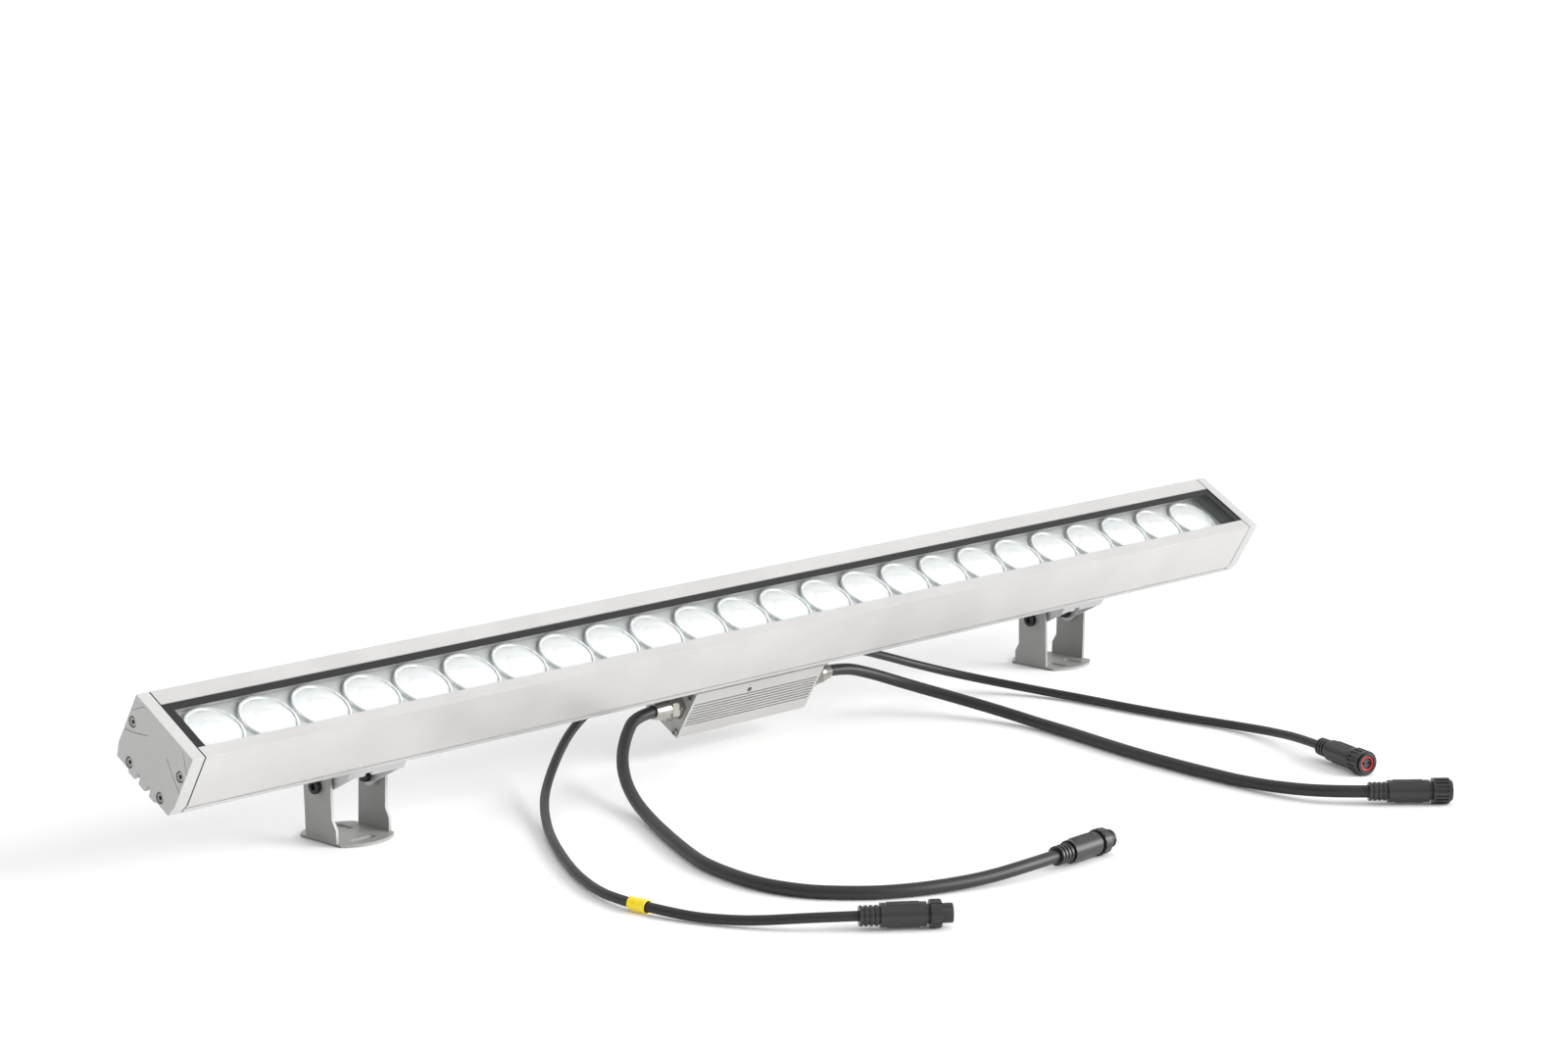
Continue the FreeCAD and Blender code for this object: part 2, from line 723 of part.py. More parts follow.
def build_end(side, name):
    """One end: gasket and die-cast cap with shallow relief lines. Returns the cap's screws."""
    gasket = new_body("EndGasket" + name)
    sketch = new_sketch(gasket, "YZ_Plane", offset=side * half_extrusion)
    edge = S.housing_half_width - S.gasket_inset
    base = S.gasket_inset - S.housing_depth
    add_loop(sketch, mirrored([(edge - S.chamfer_width, base),
                               (edge, base + S.chamfer_height), (edge, -S.gasket_inset)]))
    for u, n in screw_ports:
        add_circle(sketch, u, n, S.cap_screw_radius + S.screw_gap)
    pad(gasket, sketch, S.gasket_thickness, reverse=side < 0)
    finish("end_gasket_" + name.lower(), gasket, lamp_frame())

    cap = new_body("EndCap" + name)
    inner_face = side * (half_extrusion + S.gasket_thickness)
    outer_face = side * (S.overall_length / 2)
    sketch = new_sketch(cap, "YZ_Plane", offset=inner_face)
    add_loop(sketch, cap_outline())
    for u, n in screw_ports:
        add_circle(sketch, u, n, S.cap_screw_radius + S.screw_gap)
    pad(cap, sketch, S.cap_thickness, reverse=side < 0)
    bores = new_sketch(cap, "YZ_Plane", offset=outer_face)
    for u, n in screw_ports:
        add_circle(bores, u, n, S.cap_head_radius + S.cap_bore_gap)
    pocket(cap, bores, S.cap_head_height + S.cap_head_sink, reverse=side < 0)
    top = S.housing_half_width - S.seat_gap
    for flip in (-1, 1):
        for start, stop in (((20.2, -1.7), (top, -12.0)), ((10.0, -15.0), (21.0, -21.7)),
                            ((21.0, -21.7), (top, -25.8))):
            lines = new_sketch(cap, "YZ_Plane", offset=outer_face)
            add_loop(lines, relief_strip((flip * as_size(start[0]), as_size(start[1])),
                                         (flip * as_size(stop[0]), as_size(stop[1]))))
            pocket(cap, lines, S.relief_depth, reverse=side < 0)
    finish("end_cap_" + name.lower(), cap, lamp_frame())

    sunk = S.cap_head_height + S.cap_head_sink
    reach = S.cap_thickness - sunk + S.gasket_thickness + S.cap_screw_reach
    seat = side * (S.overall_length / 2 - sunk)
    turn = Rotation(Y_AXIS, 90 * side)
    return [socket_screw("CapScrew%s%d" % (name, index), S.cap_screw_radius, reach,
                         S.cap_head_radius, S.cap_head_height, seat, u, n, turn)
            for index, (u, n) in enumerate(screw_ports)]


# ---------------------------------------------------------------------------------- driver box
def build_driver_case():
    """Finned, extruded driver case with screw ports in its corners."""
    case = new_body("DriverCase")
    sketch = new_sketch(case, "YZ_Plane", offset=driver_start)
    side = S.driver_half_width
    right = [(side, driver_bottom)]
    for index in reversed(range(FIN_COUNT)):
        groove_top = driver_top - S.fin_band - S.fin_pitch * (index + 0.3)
        groove_low = groove_top - S.fin_groove
        right += [(side, groove_low), (side - S.fin_depth, groove_low),
                  (side - S.fin_depth, groove_top), (side, groove_top)]
    right.append((side, driver_top))
    add_loop(sketch, mirrored(right))
    inner = side - S.driver_side_wall
    low = driver_bottom + S.driver_wall
    high = driver_top - S.driver_wall
    corner = S.driver_corner
    add_loop(sketch, mirrored([(inner - corner, low), (inner, low + corner),
                               (inner, high - corner), (inner - corner, high)]))
    for u, n in plate_screw_places:
        add_circle(sketch, u, n, S.plate_screw_radius + S.seat_gap)
    pad(case, sketch, S.driver_length)
    holes = new_sketch(case, "XY_Plane", offset=driver_top)
    for x in clamp_places:
        for flip in (-1, 1):
            add_circle(holes, x, flip * S.clamp_screw_u, S.clamp_screw_radius + S.screw_gap)
    add_circle(holes, S.driver_shift, ZERO, S.lead_radius + S.conduit_wall + S.free_gap)
    pocket(case, holes, S.driver_wall + S.driver_corner)
    return finish("driver_case", case, lamp_frame())


def build_driver_end(side, name):
    """One end plate of the driver. Returns the plate's screws."""
    face = driver_start if side < 0 else driver_end
    plate = new_body("DriverPlate" + name)
    sketch = new_sketch(plate, "YZ_Plane", offset=face)
    half = S.driver_half_width
    add_loop(sketch, rectangle(-half, driver_bottom, half, driver_top))
    for u, n in plate_screw_places:
        add_circle(sketch, u, n, S.plate_screw_radius + S.seat_gap)
    for flip in (-1, 1):
        add_circle(sketch, flip * S.gland_half_spacing, gland_n,
                   S.gland_thread_radius + S.seat_gap)
    pad(plate, sketch, S.plate_thickness, reverse=side < 0)
    finish("driver_plate_" + name.lower(), plate, lamp_frame())

    outer = face + side * S.plate_thickness
    turn = Rotation(Y_AXIS, 90 * side)
    return [socket_screw("PlateScrew%s%d" % (name, index), S.plate_screw_radius,
                         S.plate_thickness * 4, S.plate_head_radius, S.plate_head_height,
                         outer, u, n, turn)
            for index, (u, n) in enumerate(plate_screw_places)]


def build_gland(letter, side, flip, cord_diameter):
    """Cable gland: a threaded hexagonal body through the plate, and its dome nut."""
    face = driver_start if side < 0 else driver_end
    outer = face + side * S.plate_thickness
    where = lamp_frame(outer, flip * S.gland_half_spacing, gland_n,
                       Rotation(Z_AXIS, 180 if side < 0 else 0))
    collar = prism("GlandCollar" + letter, S.gland_flats, S.gland_collar, rotation=TO_X)
    thread = cylinder("GlandThread" + letter, S.gland_thread_radius,
                      S.gland_thread_length + S.gland_collar * 2, x=-S.gland_thread_length,
                      rotation=TO_X)
    blank = fuse("GlandBlank" + letter, [collar, thread])
    lead_hole = cylinder("GlandBore" + letter, S.lead_radius,
                         S.gland_length, x=-S.gland_thread_length * 2, rotation=TO_X)
    finish("gland_body_" + letter, cut("GlandBody" + letter, blank, lead_hole), where)

    nut = new_body("GlandNut" + letter)
    start = S.gland_collar + S.seat_gap
    hex_end = start + S.gland_nut_hex
    sketch = new_sketch(nut, "XZ_Plane")
    inner = S.gland_thread_radius + S.seat_gap
    floor = S.gland_collar * 2 + S.seat_gap
    bore = cord_diameter / 2 + S.screw_gap
    across = S.gland_flats / 2
    dome = across - S.seat_gap * 4
    add_loop(sketch, [(start, inner), (floor, inner), (floor, ZERO),
                      (S.gland_length - S.gland_bore_depth, ZERO),
                      (S.gland_length - S.gland_bore_depth, bore), (S.gland_length, bore),
                      (S.gland_length, S.gland_tip_radius),
                      (hex_end + S.gland_nut_hex * 0.6, dome * 0.96),
                      (hex_end, dome), (hex_end, across), (start, across)][::-1])
    revolve(nut, sketch, "H_Axis")
    flats = new_sketch(nut, "YZ_Plane", offset=start)
    radius = across / math.cos(math.pi / 6)
    corners = [(radius * math.cos(math.pi * step / 3), radius * math.sin(math.pi * step / 3))
               for step in range(6)]
    add_loop(flats, corners)
    add_circle(flats, ZERO, ZERO, across - S.seat_gap * 2)
    pad(nut, flats, S.gland_nut_hex)
    finish("gland_nut_" + letter, nut, where)


def build_clamps():
    """Two blocks that hang the driver from the housing's channel, with their screws."""
    blocks = []
    screws = []
    for index, x in enumerate(clamp_places):
        low = x - S.clamp_length / 2
        high = x + S.clamp_length / 2
        neck = S.channel_mouth_half - S.free_gap
        head = S.channel_half - S.free_gap
        mouth = S.channel_mouth_depth - S.housing_depth + S.free_gap
        roof = S.channel_depth - S.housing_depth - S.free_gap
        parts = [box("ClampFoot%d" % index, (low, -S.clamp_half_width, driver_top),
                     (high, S.clamp_half_width, -S.housing_depth)),
                 box("ClampNeck%d" % index, (low, -neck, -S.housing_depth), (high, neck, mouth)),
                 box("ClampHead%d" % index, (low, -head, mouth), (high, head, roof))]
        block = fuse("ClampBlank%d" % index, parts)
        for side, flip in (("A", -1), ("B", 1)):
            u = flip * S.clamp_screw_u
            seat = -(S.housing_depth + S.clamp_head_height + S.seat_gap)
            bore = cylinder("ClampBore%d%s" % (index, side), S.clamp_screw_radius + S.screw_gap,
                            S.driver_gap, x, u, driver_top)
            sink = cylinder("ClampSink%d%s" % (index, side), S.clamp_head_radius + S.screw_gap,
                            S.driver_gap, x, u, seat)
            block = cut("ClampCut%d%s" % (index, side), block,
                        fuse("ClampTool%d%s" % (index, side), [bore, sink]))
            screws.append(socket_screw("ClampScrew%d%s" % (index, side), S.clamp_screw_radius,
                                       seat - driver_top + S.driver_wall, S.clamp_head_radius,
                                       S.clamp_head_height, x, u, seat))
        blocks.append(block)
    finish("driver_clamps", group("DriverClamps", blocks), lamp_frame())
    finish("driver_clamp_screws", group("DriverClampScrews", screws), lamp_frame())


def build_driver_inside():
    """Driver board with its main components, and the lead up to the light engine."""
    board_low = driver_bottom + S.driver_wall + S.driver_corner - S.board_thickness
    board_high = board_low + S.board_thickness
    half_width = S.driver_half_width - S.driver_side_wall - S.board_thickness - S.free_gap
    end = S.driver_length / 2 - S.gland_thread_length - S.cap_thickness / 4
    middle = S.driver_shift
    finish("driver_board", box("DriverBoard", (middle - end, -half_width, board_low),
                               (middle + end, half_width, board_high)), lamp_frame())
    core = S.driver_wall * 5
    core_top = driver_top - S.driver_wall - S.driver_corner
    finish("driver_transformer", box("DriverTransformer",
                                     (middle - core, -core * 0.8, board_high),
                                     (middle + core, core * 0.8, core_top)), lamp_frame())
    can = S.driver_wall * 2
    tall = S.driver_height / 2
    cans = [cylinder("Can%d" % index, can, tall, middle - core * 2, flip * can * 1.2, board_high)
            for index, flip in enumerate((-1, 1))]
    finish("driver_capacitors", group("DriverCapacitors", cans), lamp_frame())
    coil = doc.addObject("Part::Torus", "DriverInductor")
    bind(coil, "Radius1", can)
    bind(coil, "Radius2", can / 2)
    set_place(coil, middle + core * 2, 0, board_high + can / 2)
    finish("driver_inductor", coil, lamp_frame())

    lead_low = core_top
    lead = cylinder("LeadWire", S.lead_radius, board_top - lead_low, middle, 0, lead_low)
    finish("lead_wire", lead, lamp_frame())
    inner = S.lead_radius + S.free_gap
    outer = S.lead_radius + S.conduit_wall
    low = driver_top - S.driver_wall
    high = S.channel_depth - S.housing_depth
    tube = cut("LeadConduit", cylinder("ConduitOuter", outer, high - low, middle, 0, low),
               cylinder("ConduitInner", inner, high - low, middle, 0, low))
    finish("lead_conduit", tube, lamp_frame())


plate_screw_places = [(flip * S.plate_screw_u, n) for flip in (-1, 1)
                      for n in (driver_top - S.plate_screw_top,
                                driver_bottom + S.plate_screw_bottom)]
gland_n = driver_top - S.gland_drop


# ------------------------------------------------------------------------ sliders and brackets
def arm_inner_half(height):
    """Return half the room between a bracket's arms at a height above its base."""
    return (S.base_half_length + S.arm_splay * (height / S.arm_height)) - S.sheet


def build_slider(side, place):
    """Slider block with a tongue in the housing's channel and two lugs down to the pivot."""
    body = new_body("Slider" + side)
    sketch = new_sketch(body, "YZ_Plane")
    roof = S.channel_depth - S.housing_depth - S.free_gap
    mouth = S.channel_mouth_depth - S.housing_depth + S.free_gap
    neck = S.channel_mouth_half - S.free_gap
    head = S.channel_half - S.free_gap
    top = -(S.housing_depth + S.free_gap)
    low = top - S.slider_height
    wide = S.slider_half_width
    add_loop(sketch, mirrored([(wide, low), (wide, top), (neck, top), (neck, mouth),
                               (head, mouth), (head, roof)]))
    pad(body, sketch, S.slider_length, middle=True)
    for flip in (-1, 1):
        lug = new_sketch(body, "YZ_Plane", offset=flip * S.lug_spread)
        eye = S.eye_radius
        add_loop(lug, mirrored([(eye * 0.99, S.free_gap / 2 - S.pivot_drop), (wide, low)]))
        pad(body, lug, S.lug_thickness, reverse=flip > 0)
        ring = new_sketch(body, "YZ_Plane", offset=flip * S.lug_spread)
        add_circle(ring, ZERO, -S.pivot_drop, eye)
        pad(body, ring, S.lug_thickness, reverse=flip > 0)
    hole = new_sketch(body, "YZ_Plane")
    add_circle(hole, ZERO, -S.pivot_drop, S.pivot_bolt_radius + S.running_gap)
    pocket(body, hole, both_ways=True)
    screw_holes = new_sketch(body, "XY_Plane", offset=low)
    for flip in (-1, 1):
        add_circle(screw_holes, flip * S.slider_screw_x, flip * S.slider_screw_u,
                   S.slider_screw_radius + S.seat_gap)
    pocket(body, screw_holes, S.slider_height + S.free_gap, reverse=True)
    notch = new_sketch(body, "YZ_Plane", offset=-S.slider_screw_x * 0.4)
    bite = S.slider_screw_radius
    add_loop(notch, rectangle(-wide - S.free_gap, low - S.free_gap, bite - wide, low + bite))
    pocket(body, notch, bite * 2)
    finish("slider_" + side.lower(), body, lamp_frame(place))

    screws = []
    for index, flip in enumerate((-1, 1)):
        x, u = flip * S.slider_screw_x, flip * S.slider_screw_u
        rod = cylinder("SetRod%s%d" % (side, index), S.slider_screw_radius,
                       S.slider_screw_length, x, u, low)
        key = prism("SetKey%s%d" % (side, index), S.slider_screw_radius,
                    S.slider_screw_radius, x, u, low)
        screws.append(cut("SetScrew%s%d" % (side, index), rod, key))
    finish("slider_screws_" + side.lower(), group("SliderScrews" + side, screws),
           lamp_frame(place))

    fasteners = []
    seat = arm_inner_half(S.pivot_height + S.pivot_head_radius) + S.sheet + S.free_gap
    lug_inside = S.lug_spread - S.lug_thickness
    reach = seat - lug_inside + S.pivot_nut_height
    for flip, letter in ((-1, "A"), (1, "B")):
        fasteners.append(socket_screw("PivotBolt" + side + letter, S.pivot_bolt_radius, reach,
                                      S.pivot_head_radius, S.pivot_head_height, flip * seat,
                                      0, 0, Rotation(Y_AXIS, 90 * flip)))
        near = lug_inside - S.pivot_nut_height if flip > 0 else -lug_inside
        nut = prism("PivotNut" + side + letter, S.pivot_head_radius * 1.7, S.pivot_nut_height,
                    x=near, rotation=TO_X)
        bore = cylinder("PivotNutBore" + side + letter, S.pivot_bolt_radius + S.running_gap,
                        S.pivot_nut_height, x=near, rotation=TO_X)
        fasteners.append(cut("PivotNutCut" + side + letter, nut, bore))
    finish("pivot_bolts_" + side.lower(), group("PivotBolts" + side, fasteners),
           lamp_frame(place, 0, -S.pivot_drop))


def build_bracket(side, place, turned):
    """Folded sheet bracket: slotted base with bulged lips, and two arms with one shoulder."""
    body = new_body("Bracket" + side)
    half = S.base_half_length
    edge = S.base_corner_y
    base = new_sketch(body, "XY_Plane")
    add_loop(base, [(-half, -edge, S.base_lip), (half, -edge), (half, edge, S.base_lip),
                    (-half, edge)])
    add_slot(base, -S.cross_slot_x, -S.cross_slot_y, S.cross_slot_length, S.slot_width, True)
    for flip in (-1, 1):
        add_slot(base, flip * S.long_slot_x, S.long_slot_y, S.long_slot_length, S.slot_width,
                 False)
    pad(body, base, S.sheet)
    arms = new_sketch(body, "XZ_Plane", offset=-S.arm_rear)
    top = half + S.arm_splay
    for flip in (-1, 1):
        loop = [(half - S.sheet, ZERO), (half, ZERO), (top, S.arm_height),
                (top - S.sheet, S.arm_height)]
        if flip < 0:
            loop = [(-x, z) for x, z in reversed(loop)]
        add_loop(arms, loop)
    pad(body, arms, S.arm_rear + S.shoulder_front)
    trim = new_sketch(body, "YZ_Plane")
    beyond = S.arm_height + S.sheet
    foot = S.shoulder_height - S.shoulder_slope
    add_loop(trim, [(-S.shoulder_front - S.sheet, foot), (-S.shoulder_front, foot),
                    (-S.arm_front, S.shoulder_height), (-S.arm_front, S.arm_height - S.arm_corner),
                    (S.arm_corner - S.arm_front, S.arm_height),
                    (S.arm_corner - S.arm_front, beyond), (-S.shoulder_front - S.sheet, beyond)])
    add_loop(trim, [(S.arm_rear - S.arm_corner, S.arm_height),
                    (S.arm_rear, S.arm_height - S.arm_corner), (S.arm_rear + S.sheet,
                                                               S.arm_height - S.arm_corner),
                    (S.arm_rear + S.sheet, beyond), (S.arm_rear - S.arm_corner, beyond)])
    add_circle(trim, ZERO, S.pivot_height, S.pivot_bolt_radius + S.running_gap)
    pocket(body, trim, both_ways=True)
    corners = new_sketch(body, "XZ_Plane")
    bend = S.bend_radius
    face = half + S.arm_splay * bend / S.arm_height
    hip = bend * (1 - math.cos(math.pi / 4))
    for flip in (-1, 1):
        loop = [(half - bend, -S.sheet), (top + S.sheet, -S.sheet), (top + S.sheet, bend),
                (face, bend), (half - hip, hip), (half - bend, ZERO)]
        if flip < 0:
            loop = [(-x, z) for x, z in reversed(loop)]
        add_loop(corners, loop)
    pocket(body, corners, both_ways=True)
    where = Placement(Vector(float(place), float(S.pivot_back), 0),
                      Rotation(Z_AXIS, 180 if turned else 0))
    finish("bracket_" + side.lower(), body, where)


# ------------------------------------------------------------------- cords and their connectors
def connector_place(tail, heading):
    """Return the placement of a connector: its tail on the floor plan, turned to a heading."""
    return Placement(Vector(tail[0], tail[1], float(S.connector_height)),
                     Rotation(Z_AXIS, heading))


cord_bore_depth = S.relief_length / 3


def tail_profile(cord_diameter):
    """Return the shared rear half of a connector: cord bore, ribbed relief and grip."""
    bore = cord_diameter / 2 + S.screw_gap
    points = [(cord_bore_depth, ZERO), (cord_bore_depth, bore), (ZERO, bore)]
    step = S.relief_length / RELIEF_RINGS
    low = S.relief_ring_radius - S.relief_ring_depth
    for index in range(RELIEF_RINGS):
        start = step * index
        points += [(start, S.relief_ring_radius), (start + step * 0.6, S.relief_ring_radius),
                   (start + step * 0.6, low), (start + step, low)]
    grip_end = S.relief_length + S.grip_length
    points += [(S.relief_length, S.grip_radius), (grip_end, S.grip_radius),
               (grip_end, S.neck_radius), (grip_end + S.neck_length, S.neck_radius)]
    return points


def build_connector(letter, place, cord_diameter, female):
    """One inline connector: moulded body, contact insert and, on a socket, its union nut.

    Returns the ring seal in a socket's mouth, or None.
    """
    body = new_body("Connector" + letter)
    sketch = new_sketch(body, "XZ_Plane")
    face = S.relief_length + S.grip_length + S.neck_length
    if female:
        nose = face + S.union_length + S.free_gap * 2
        end = nose + S.tip_flange_length
        front = [(face, S.tip_radius), (nose, S.tip_radius),
                 (nose, S.tip_radius + S.tip_flange), (end, S.tip_radius + S.tip_flange)]
        insert_end = end - S.socket_recess
    else:
        nose = face + S.collar_length
        end = nose + S.thread_length
        front = [(face, S.collar_radius), (nose, S.collar_radius), (nose, S.thread_radius),
                 (end, S.thread_radius)]
        insert_end = nose
    well = insert_end - S.relief_length
    nose_bore = [(end, S.nose_bore_radius), (well, S.nose_bore_radius), (well, ZERO)]
    add_loop(sketch, (tail_profile(cord_diameter) + front + nose_bore)[::-1])
    revolve(body, sketch, "H_Axis")
    for flip in (-1, 1):
        flat = new_sketch(body, "XY_Plane", offset=flip * (S.grip_radius - S.grip_flat))
        inset = S.grip_length / 8
        half = S.grip_radius / 2
        add_loop(flat, rectangle(S.relief_length + inset, -half,
                                 S.relief_length + S.grip_length - inset, half))
        pocket(body, flat, S.grip_flat * 2, reverse=flip > 0)
    finish("connector_" + letter, body, place)

    core = cylinder("InsertCore" + letter, S.nose_bore_radius - S.seat_gap,
                    insert_end - well - S.seat_gap, x=well + S.seat_gap, rotation=TO_X)
    pins = [cylinder("Pin%s%d" % (letter, index), S.pin_radius, S.thread_length * 0.7,
                     x=insert_end - (S.thread_length * 0.7 if female else 0),
                     y=side * S.pin_half_spacing, rotation=TO_X)
            for index, side in enumerate((-1, 1))]
    if female:
        insert = cut("ContactInsert" + letter, core, fuse("PinHoles" + letter, pins))
    else:
        insert = fuse("ContactInsert" + letter, [core] + pins)
    finish("contact_insert_" + letter, insert, place)
    if not female:
        return None
    nut = new_body("UnionNut" + letter)
    ring = new_sketch(nut, "XZ_Plane")
    start = face + S.free_gap
    bore = S.tip_radius + S.running_gap
    add_loop(ring, rectangle(start, bore, start + S.union_length, S.union_radius))
    revolve(nut, ring, "H_Axis")
    groove = new_sketch(nut, "YZ_Plane", offset=start + S.union_length * 0.12)
    width = S.union_rib_depth
    add_loop(groove, rectangle(-width, S.union_radius - S.union_rib_depth, width,
                               S.union_radius + S.free_gap))
    cut_groove = pocket(nut, groove, S.union_length * 0.76, reverse=True)
    copies = nut.newObject("PartDesign::PolarPattern", "UnionRibs" + letter)
    copies.Originals = [cut_groove]
    copies.Axis = (next(f for f in nut.Origin.OriginFeatures if f.Role == "X_Axis"), [""])
    copies.Angle = 360
    copies.Occurrences = UNION_RIBS
    nut.Tip = copies
    finish("union_nut_" + letter, nut, place)
    seal = doc.addObject("Part::Torus", "SocketSeal" + letter)
    bind(seal, "Radius1", S.nose_bore_radius - S.seal_ring_radius - S.seat_gap)
    bind(seal, "Radius2", S.seal_ring_radius)
    set_place(seal, insert_end + S.seal_ring_radius + S.seat_gap, 0, 0, TO_X)
    ring_in_place = group("SocketRing" + letter, [seal])
    ring_in_place.Placement = place
    return ring_in_place


def tube_path(points):
    """Return the wire of a cord's route: straight runs joined by arcs as large as they allow."""
    edges = []
    start = points[0]
    radii = []
    for before, corner, after in zip(points, points[1:], points[2:]):
        back = (before - corner).normalize()
        onward = (after - corner).normalize()
        reach = 0.45 * min((before - corner).Length, (after - corner).Length)
        half_turn = (math.pi - back.getAngle(onward)) / 2
        radius = reach / math.tan(half_turn)
        radii.append(radius)
        enter = corner + back * reach
        leave = corner + onward * reach
        inward = (back + onward).normalize()
        centre = corner + inward * math.hypot(radius, reach)
        middle = centre - inward * radius
        edges.append(Part.LineSegment(start, enter).toShape())
        edges.append(Part.Arc(enter, middle, leave).toShape())
        start = leave
    edges.append(Part.LineSegment(start, points[-1]).toShape())
    return Part.Wire(edges), radii


def build_cord(node, letter, side, flip, diameter, laid, tail, heading):
    """One free cord, from the bore of its gland to the bore of its connector."""
    face = driver_start if side < 0 else driver_end
    outer = face + side * S.plate_thickness
    bottom = outer + side * (S.gland_length - S.gland_bore_depth)
    stub = bottom + side * S.cord_stub
    lamp = [lamp_frame(x, flip * S.gland_half_spacing, gland_n).Base for x in (bottom, stub)]
    place = connector_place(tail, heading)
    lead = place.multVec(Vector(-float(S.cord_lead), 0, 0))
    end = place.multVec(Vector(float(cord_bore_depth), 0, 0))
    points = lamp + [Vector(*point) for point in laid] + [lead, end]
    wire, radii = tube_path(points)
    radius = float(diameter) / 2
    ring = Part.Wire(Part.Circle(points[0], points[1] - points[0], radius).toShape())
    thing = doc.addObject("Part::Feature", "Cord" + letter)
    thing.Shape = wire.makePipeShell([ring], True, False)
    share = thing.Shape.Volume / (math.pi * radius ** 2 * wire.Length)
    print("%s: length %.1f mm, least radius %.1f mm, volume / (section x length) %.4f"
          % (node, wire.Length, min(radii), share))
    finish(node, thing, Placement())
    return points


# Each route is laid by hand on the floor: (x, y, z) of its corners, from the gland to the floor
# connector. The first two corners and the last two follow the gland and the connector.
ROUTE_A = [(-120, -7, 30.5), (-140.5, -24, 21), (-157, -45, 12.5), (-171.5, -69, 7),
           (-186, -95.5, 4.6), (-206, -131.5, 4.3), (-227, -172, 4.3), (-239, -200.5, 4.3),
           (-246, -246, 4.3), (-240, -273, 4.3), (-232, -288.5, 4.3), (-215, -307.5, 4.3),
           (-202.5, -316.5, 4.3), (-183, -326.5, 4.3), (-149.5, -338.5, 5.2)]
ROUTE_B = [(-124, 22.7, 43), (-146.5, 17, 34), (-166, 7.5, 24.5), (-188, -7, 15),
           (-211, -26.5, 8), (-241.5, -62, 3.9), (-267, -97, 3.4), (-287, -127.5, 3.4),
           (-304, -156, 3.5), (-320.5, -191.5, 3.8), (-326, -220, 4.7), (-324.5, -241.5, 4.6),
           (-319, -265, 3.6), (-313.5, -279, 3.6), (-303, -300.5, 4.6)]
ROUTE_C = [(119, -1, 32), (144, -16, 21.5), (165, -44, 12.5),
           (174, -81, 6.7), (174, -108, 4.3), (168, -142, 4.3), (160.5, -173.5, 4.3),
           (152.5, -212.5, 4.3), (146.5, -254.5, 4.3), (144, -285, 4.3), (142.5, -304, 4.3),
           (142.5, -335, 5.4)]
ROUTE_D = [(115, 24.6, 46.5), (137.5, 25.4, 41), (163.5, 24.6, 32.5), (190, 18.5, 23),
           (218, 3, 13.5), (240, -22, 7), (251.5, -52, 3.9), (254.4, -71.5, 3.4),
           (255.4, -92.5, 3.4), (256, -127.5, 3.4), (259, -164.5, 3.4), (263, -197.5, 3.5),
           (263.5, -217, 4), (260.5, -241, 5.5)]
CORDS = (
    # node, letter, end of the driver, front or rear gland, diameter, route, tail, heading, socket
    ("power_cord_left", "a", -1, -1, S.thick_cord, ROUTE_A, (-90.5, -344.8), 2.83, False),
    ("data_cord_left", "b", -1, 1, S.thin_cord, ROUTE_B, (-264.1, -345.3), -38.98, False),
    ("power_cord_right", "c", 1, -1, S.thick_cord, ROUTE_C, (164.4, -389.5), -43.78, True),
    ("data_cord_right", "d", 1, 1, S.thin_cord, ROUTE_D, (240.6, -297.8), -110.1, True),
)
TAG_RUN = 12                          # the run of cord b that carries the tag


def build_tag(points):
    """Bare identification sleeve on the thin left cord."""
    a, b = points[TAG_RUN], points[TAG_RUN + 1]
    along = (b - a).normalize()
    radius = S.thin_cord / 2 + S.tag_slack
    sleeve = cut("CableTag", cylinder("TagOuter", radius + S.tag_wall, S.tag_length),
                 cylinder("TagInner", radius, S.tag_length))
    start = (a + b) / 2 - along * (float(S.tag_length) / 2)
    finish("cable_tag", sleeve, Placement(start, Rotation(Z_AXIS, along)))


build_housing()
build_glass()
build_seal()
build_light_engine()
cap_screws = []
plate_screws = []
for sign, end_name in ((-1, "Left"), (1, "Right")):
    cap_screws += build_end(sign, end_name)
    plate_screws += build_driver_end(sign, end_name)
finish("end_screws", group("EndScrews", cap_screws), lamp_frame())
finish("driver_screws", group("DriverScrews", plate_screws), lamp_frame())
build_driver_case()
build_clamps()
build_driver_inside()
socket_rings = []
for cord_node, mark, end_side, rear, thickness, route, tail_point, turn_angle, is_socket in CORDS:
    build_gland(mark, end_side, rear, thickness)
    route_points = build_cord(cord_node, mark, end_side, rear, thickness, route, tail_point,
                              turn_angle)
    ring = build_connector(mark, connector_place(tail_point, turn_angle), thickness, is_socket)
    if ring:
        socket_rings.append(ring)
    if mark == "b":
        build_tag(route_points)
finish("socket_seals", group("SocketSeals", socket_rings))
for bracket_side, bracket_x, half_turned in (("Left", S.bracket_left_x, False),
                                             ("Right", S.bracket_right_x, True)):
    build_slider(bracket_side, bracket_x)
    build_bracket(bracket_side, bracket_x, half_turned)

# -------------------------------------------------------------------------- checks and export
doc.recompute()
for thing in doc.Objects:
    if "Invalid" in thing.State or "Error" in thing.State:
        raise RuntimeError(thing.Name + " did not build")
for node, thing in finished.items():
    shape = thing.Shape
    if shape.isNull() or not shape.isValid() or not shape.Solids:
        raise RuntimeError(node + " has no valid solid")
for node, thing in finished.items():
    thing.Shape.exportStep("parts/%s.step" % node)
print("%d sub-parts written" % len(finished))
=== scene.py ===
"""Looks, light and camera of an outdoor wall washer light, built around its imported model."""
import json
import logging
import math
from dataclasses import dataclass
from enum import Enum
from typing import Any

import bmesh
import bpy
from mathutils import Matrix, Vector

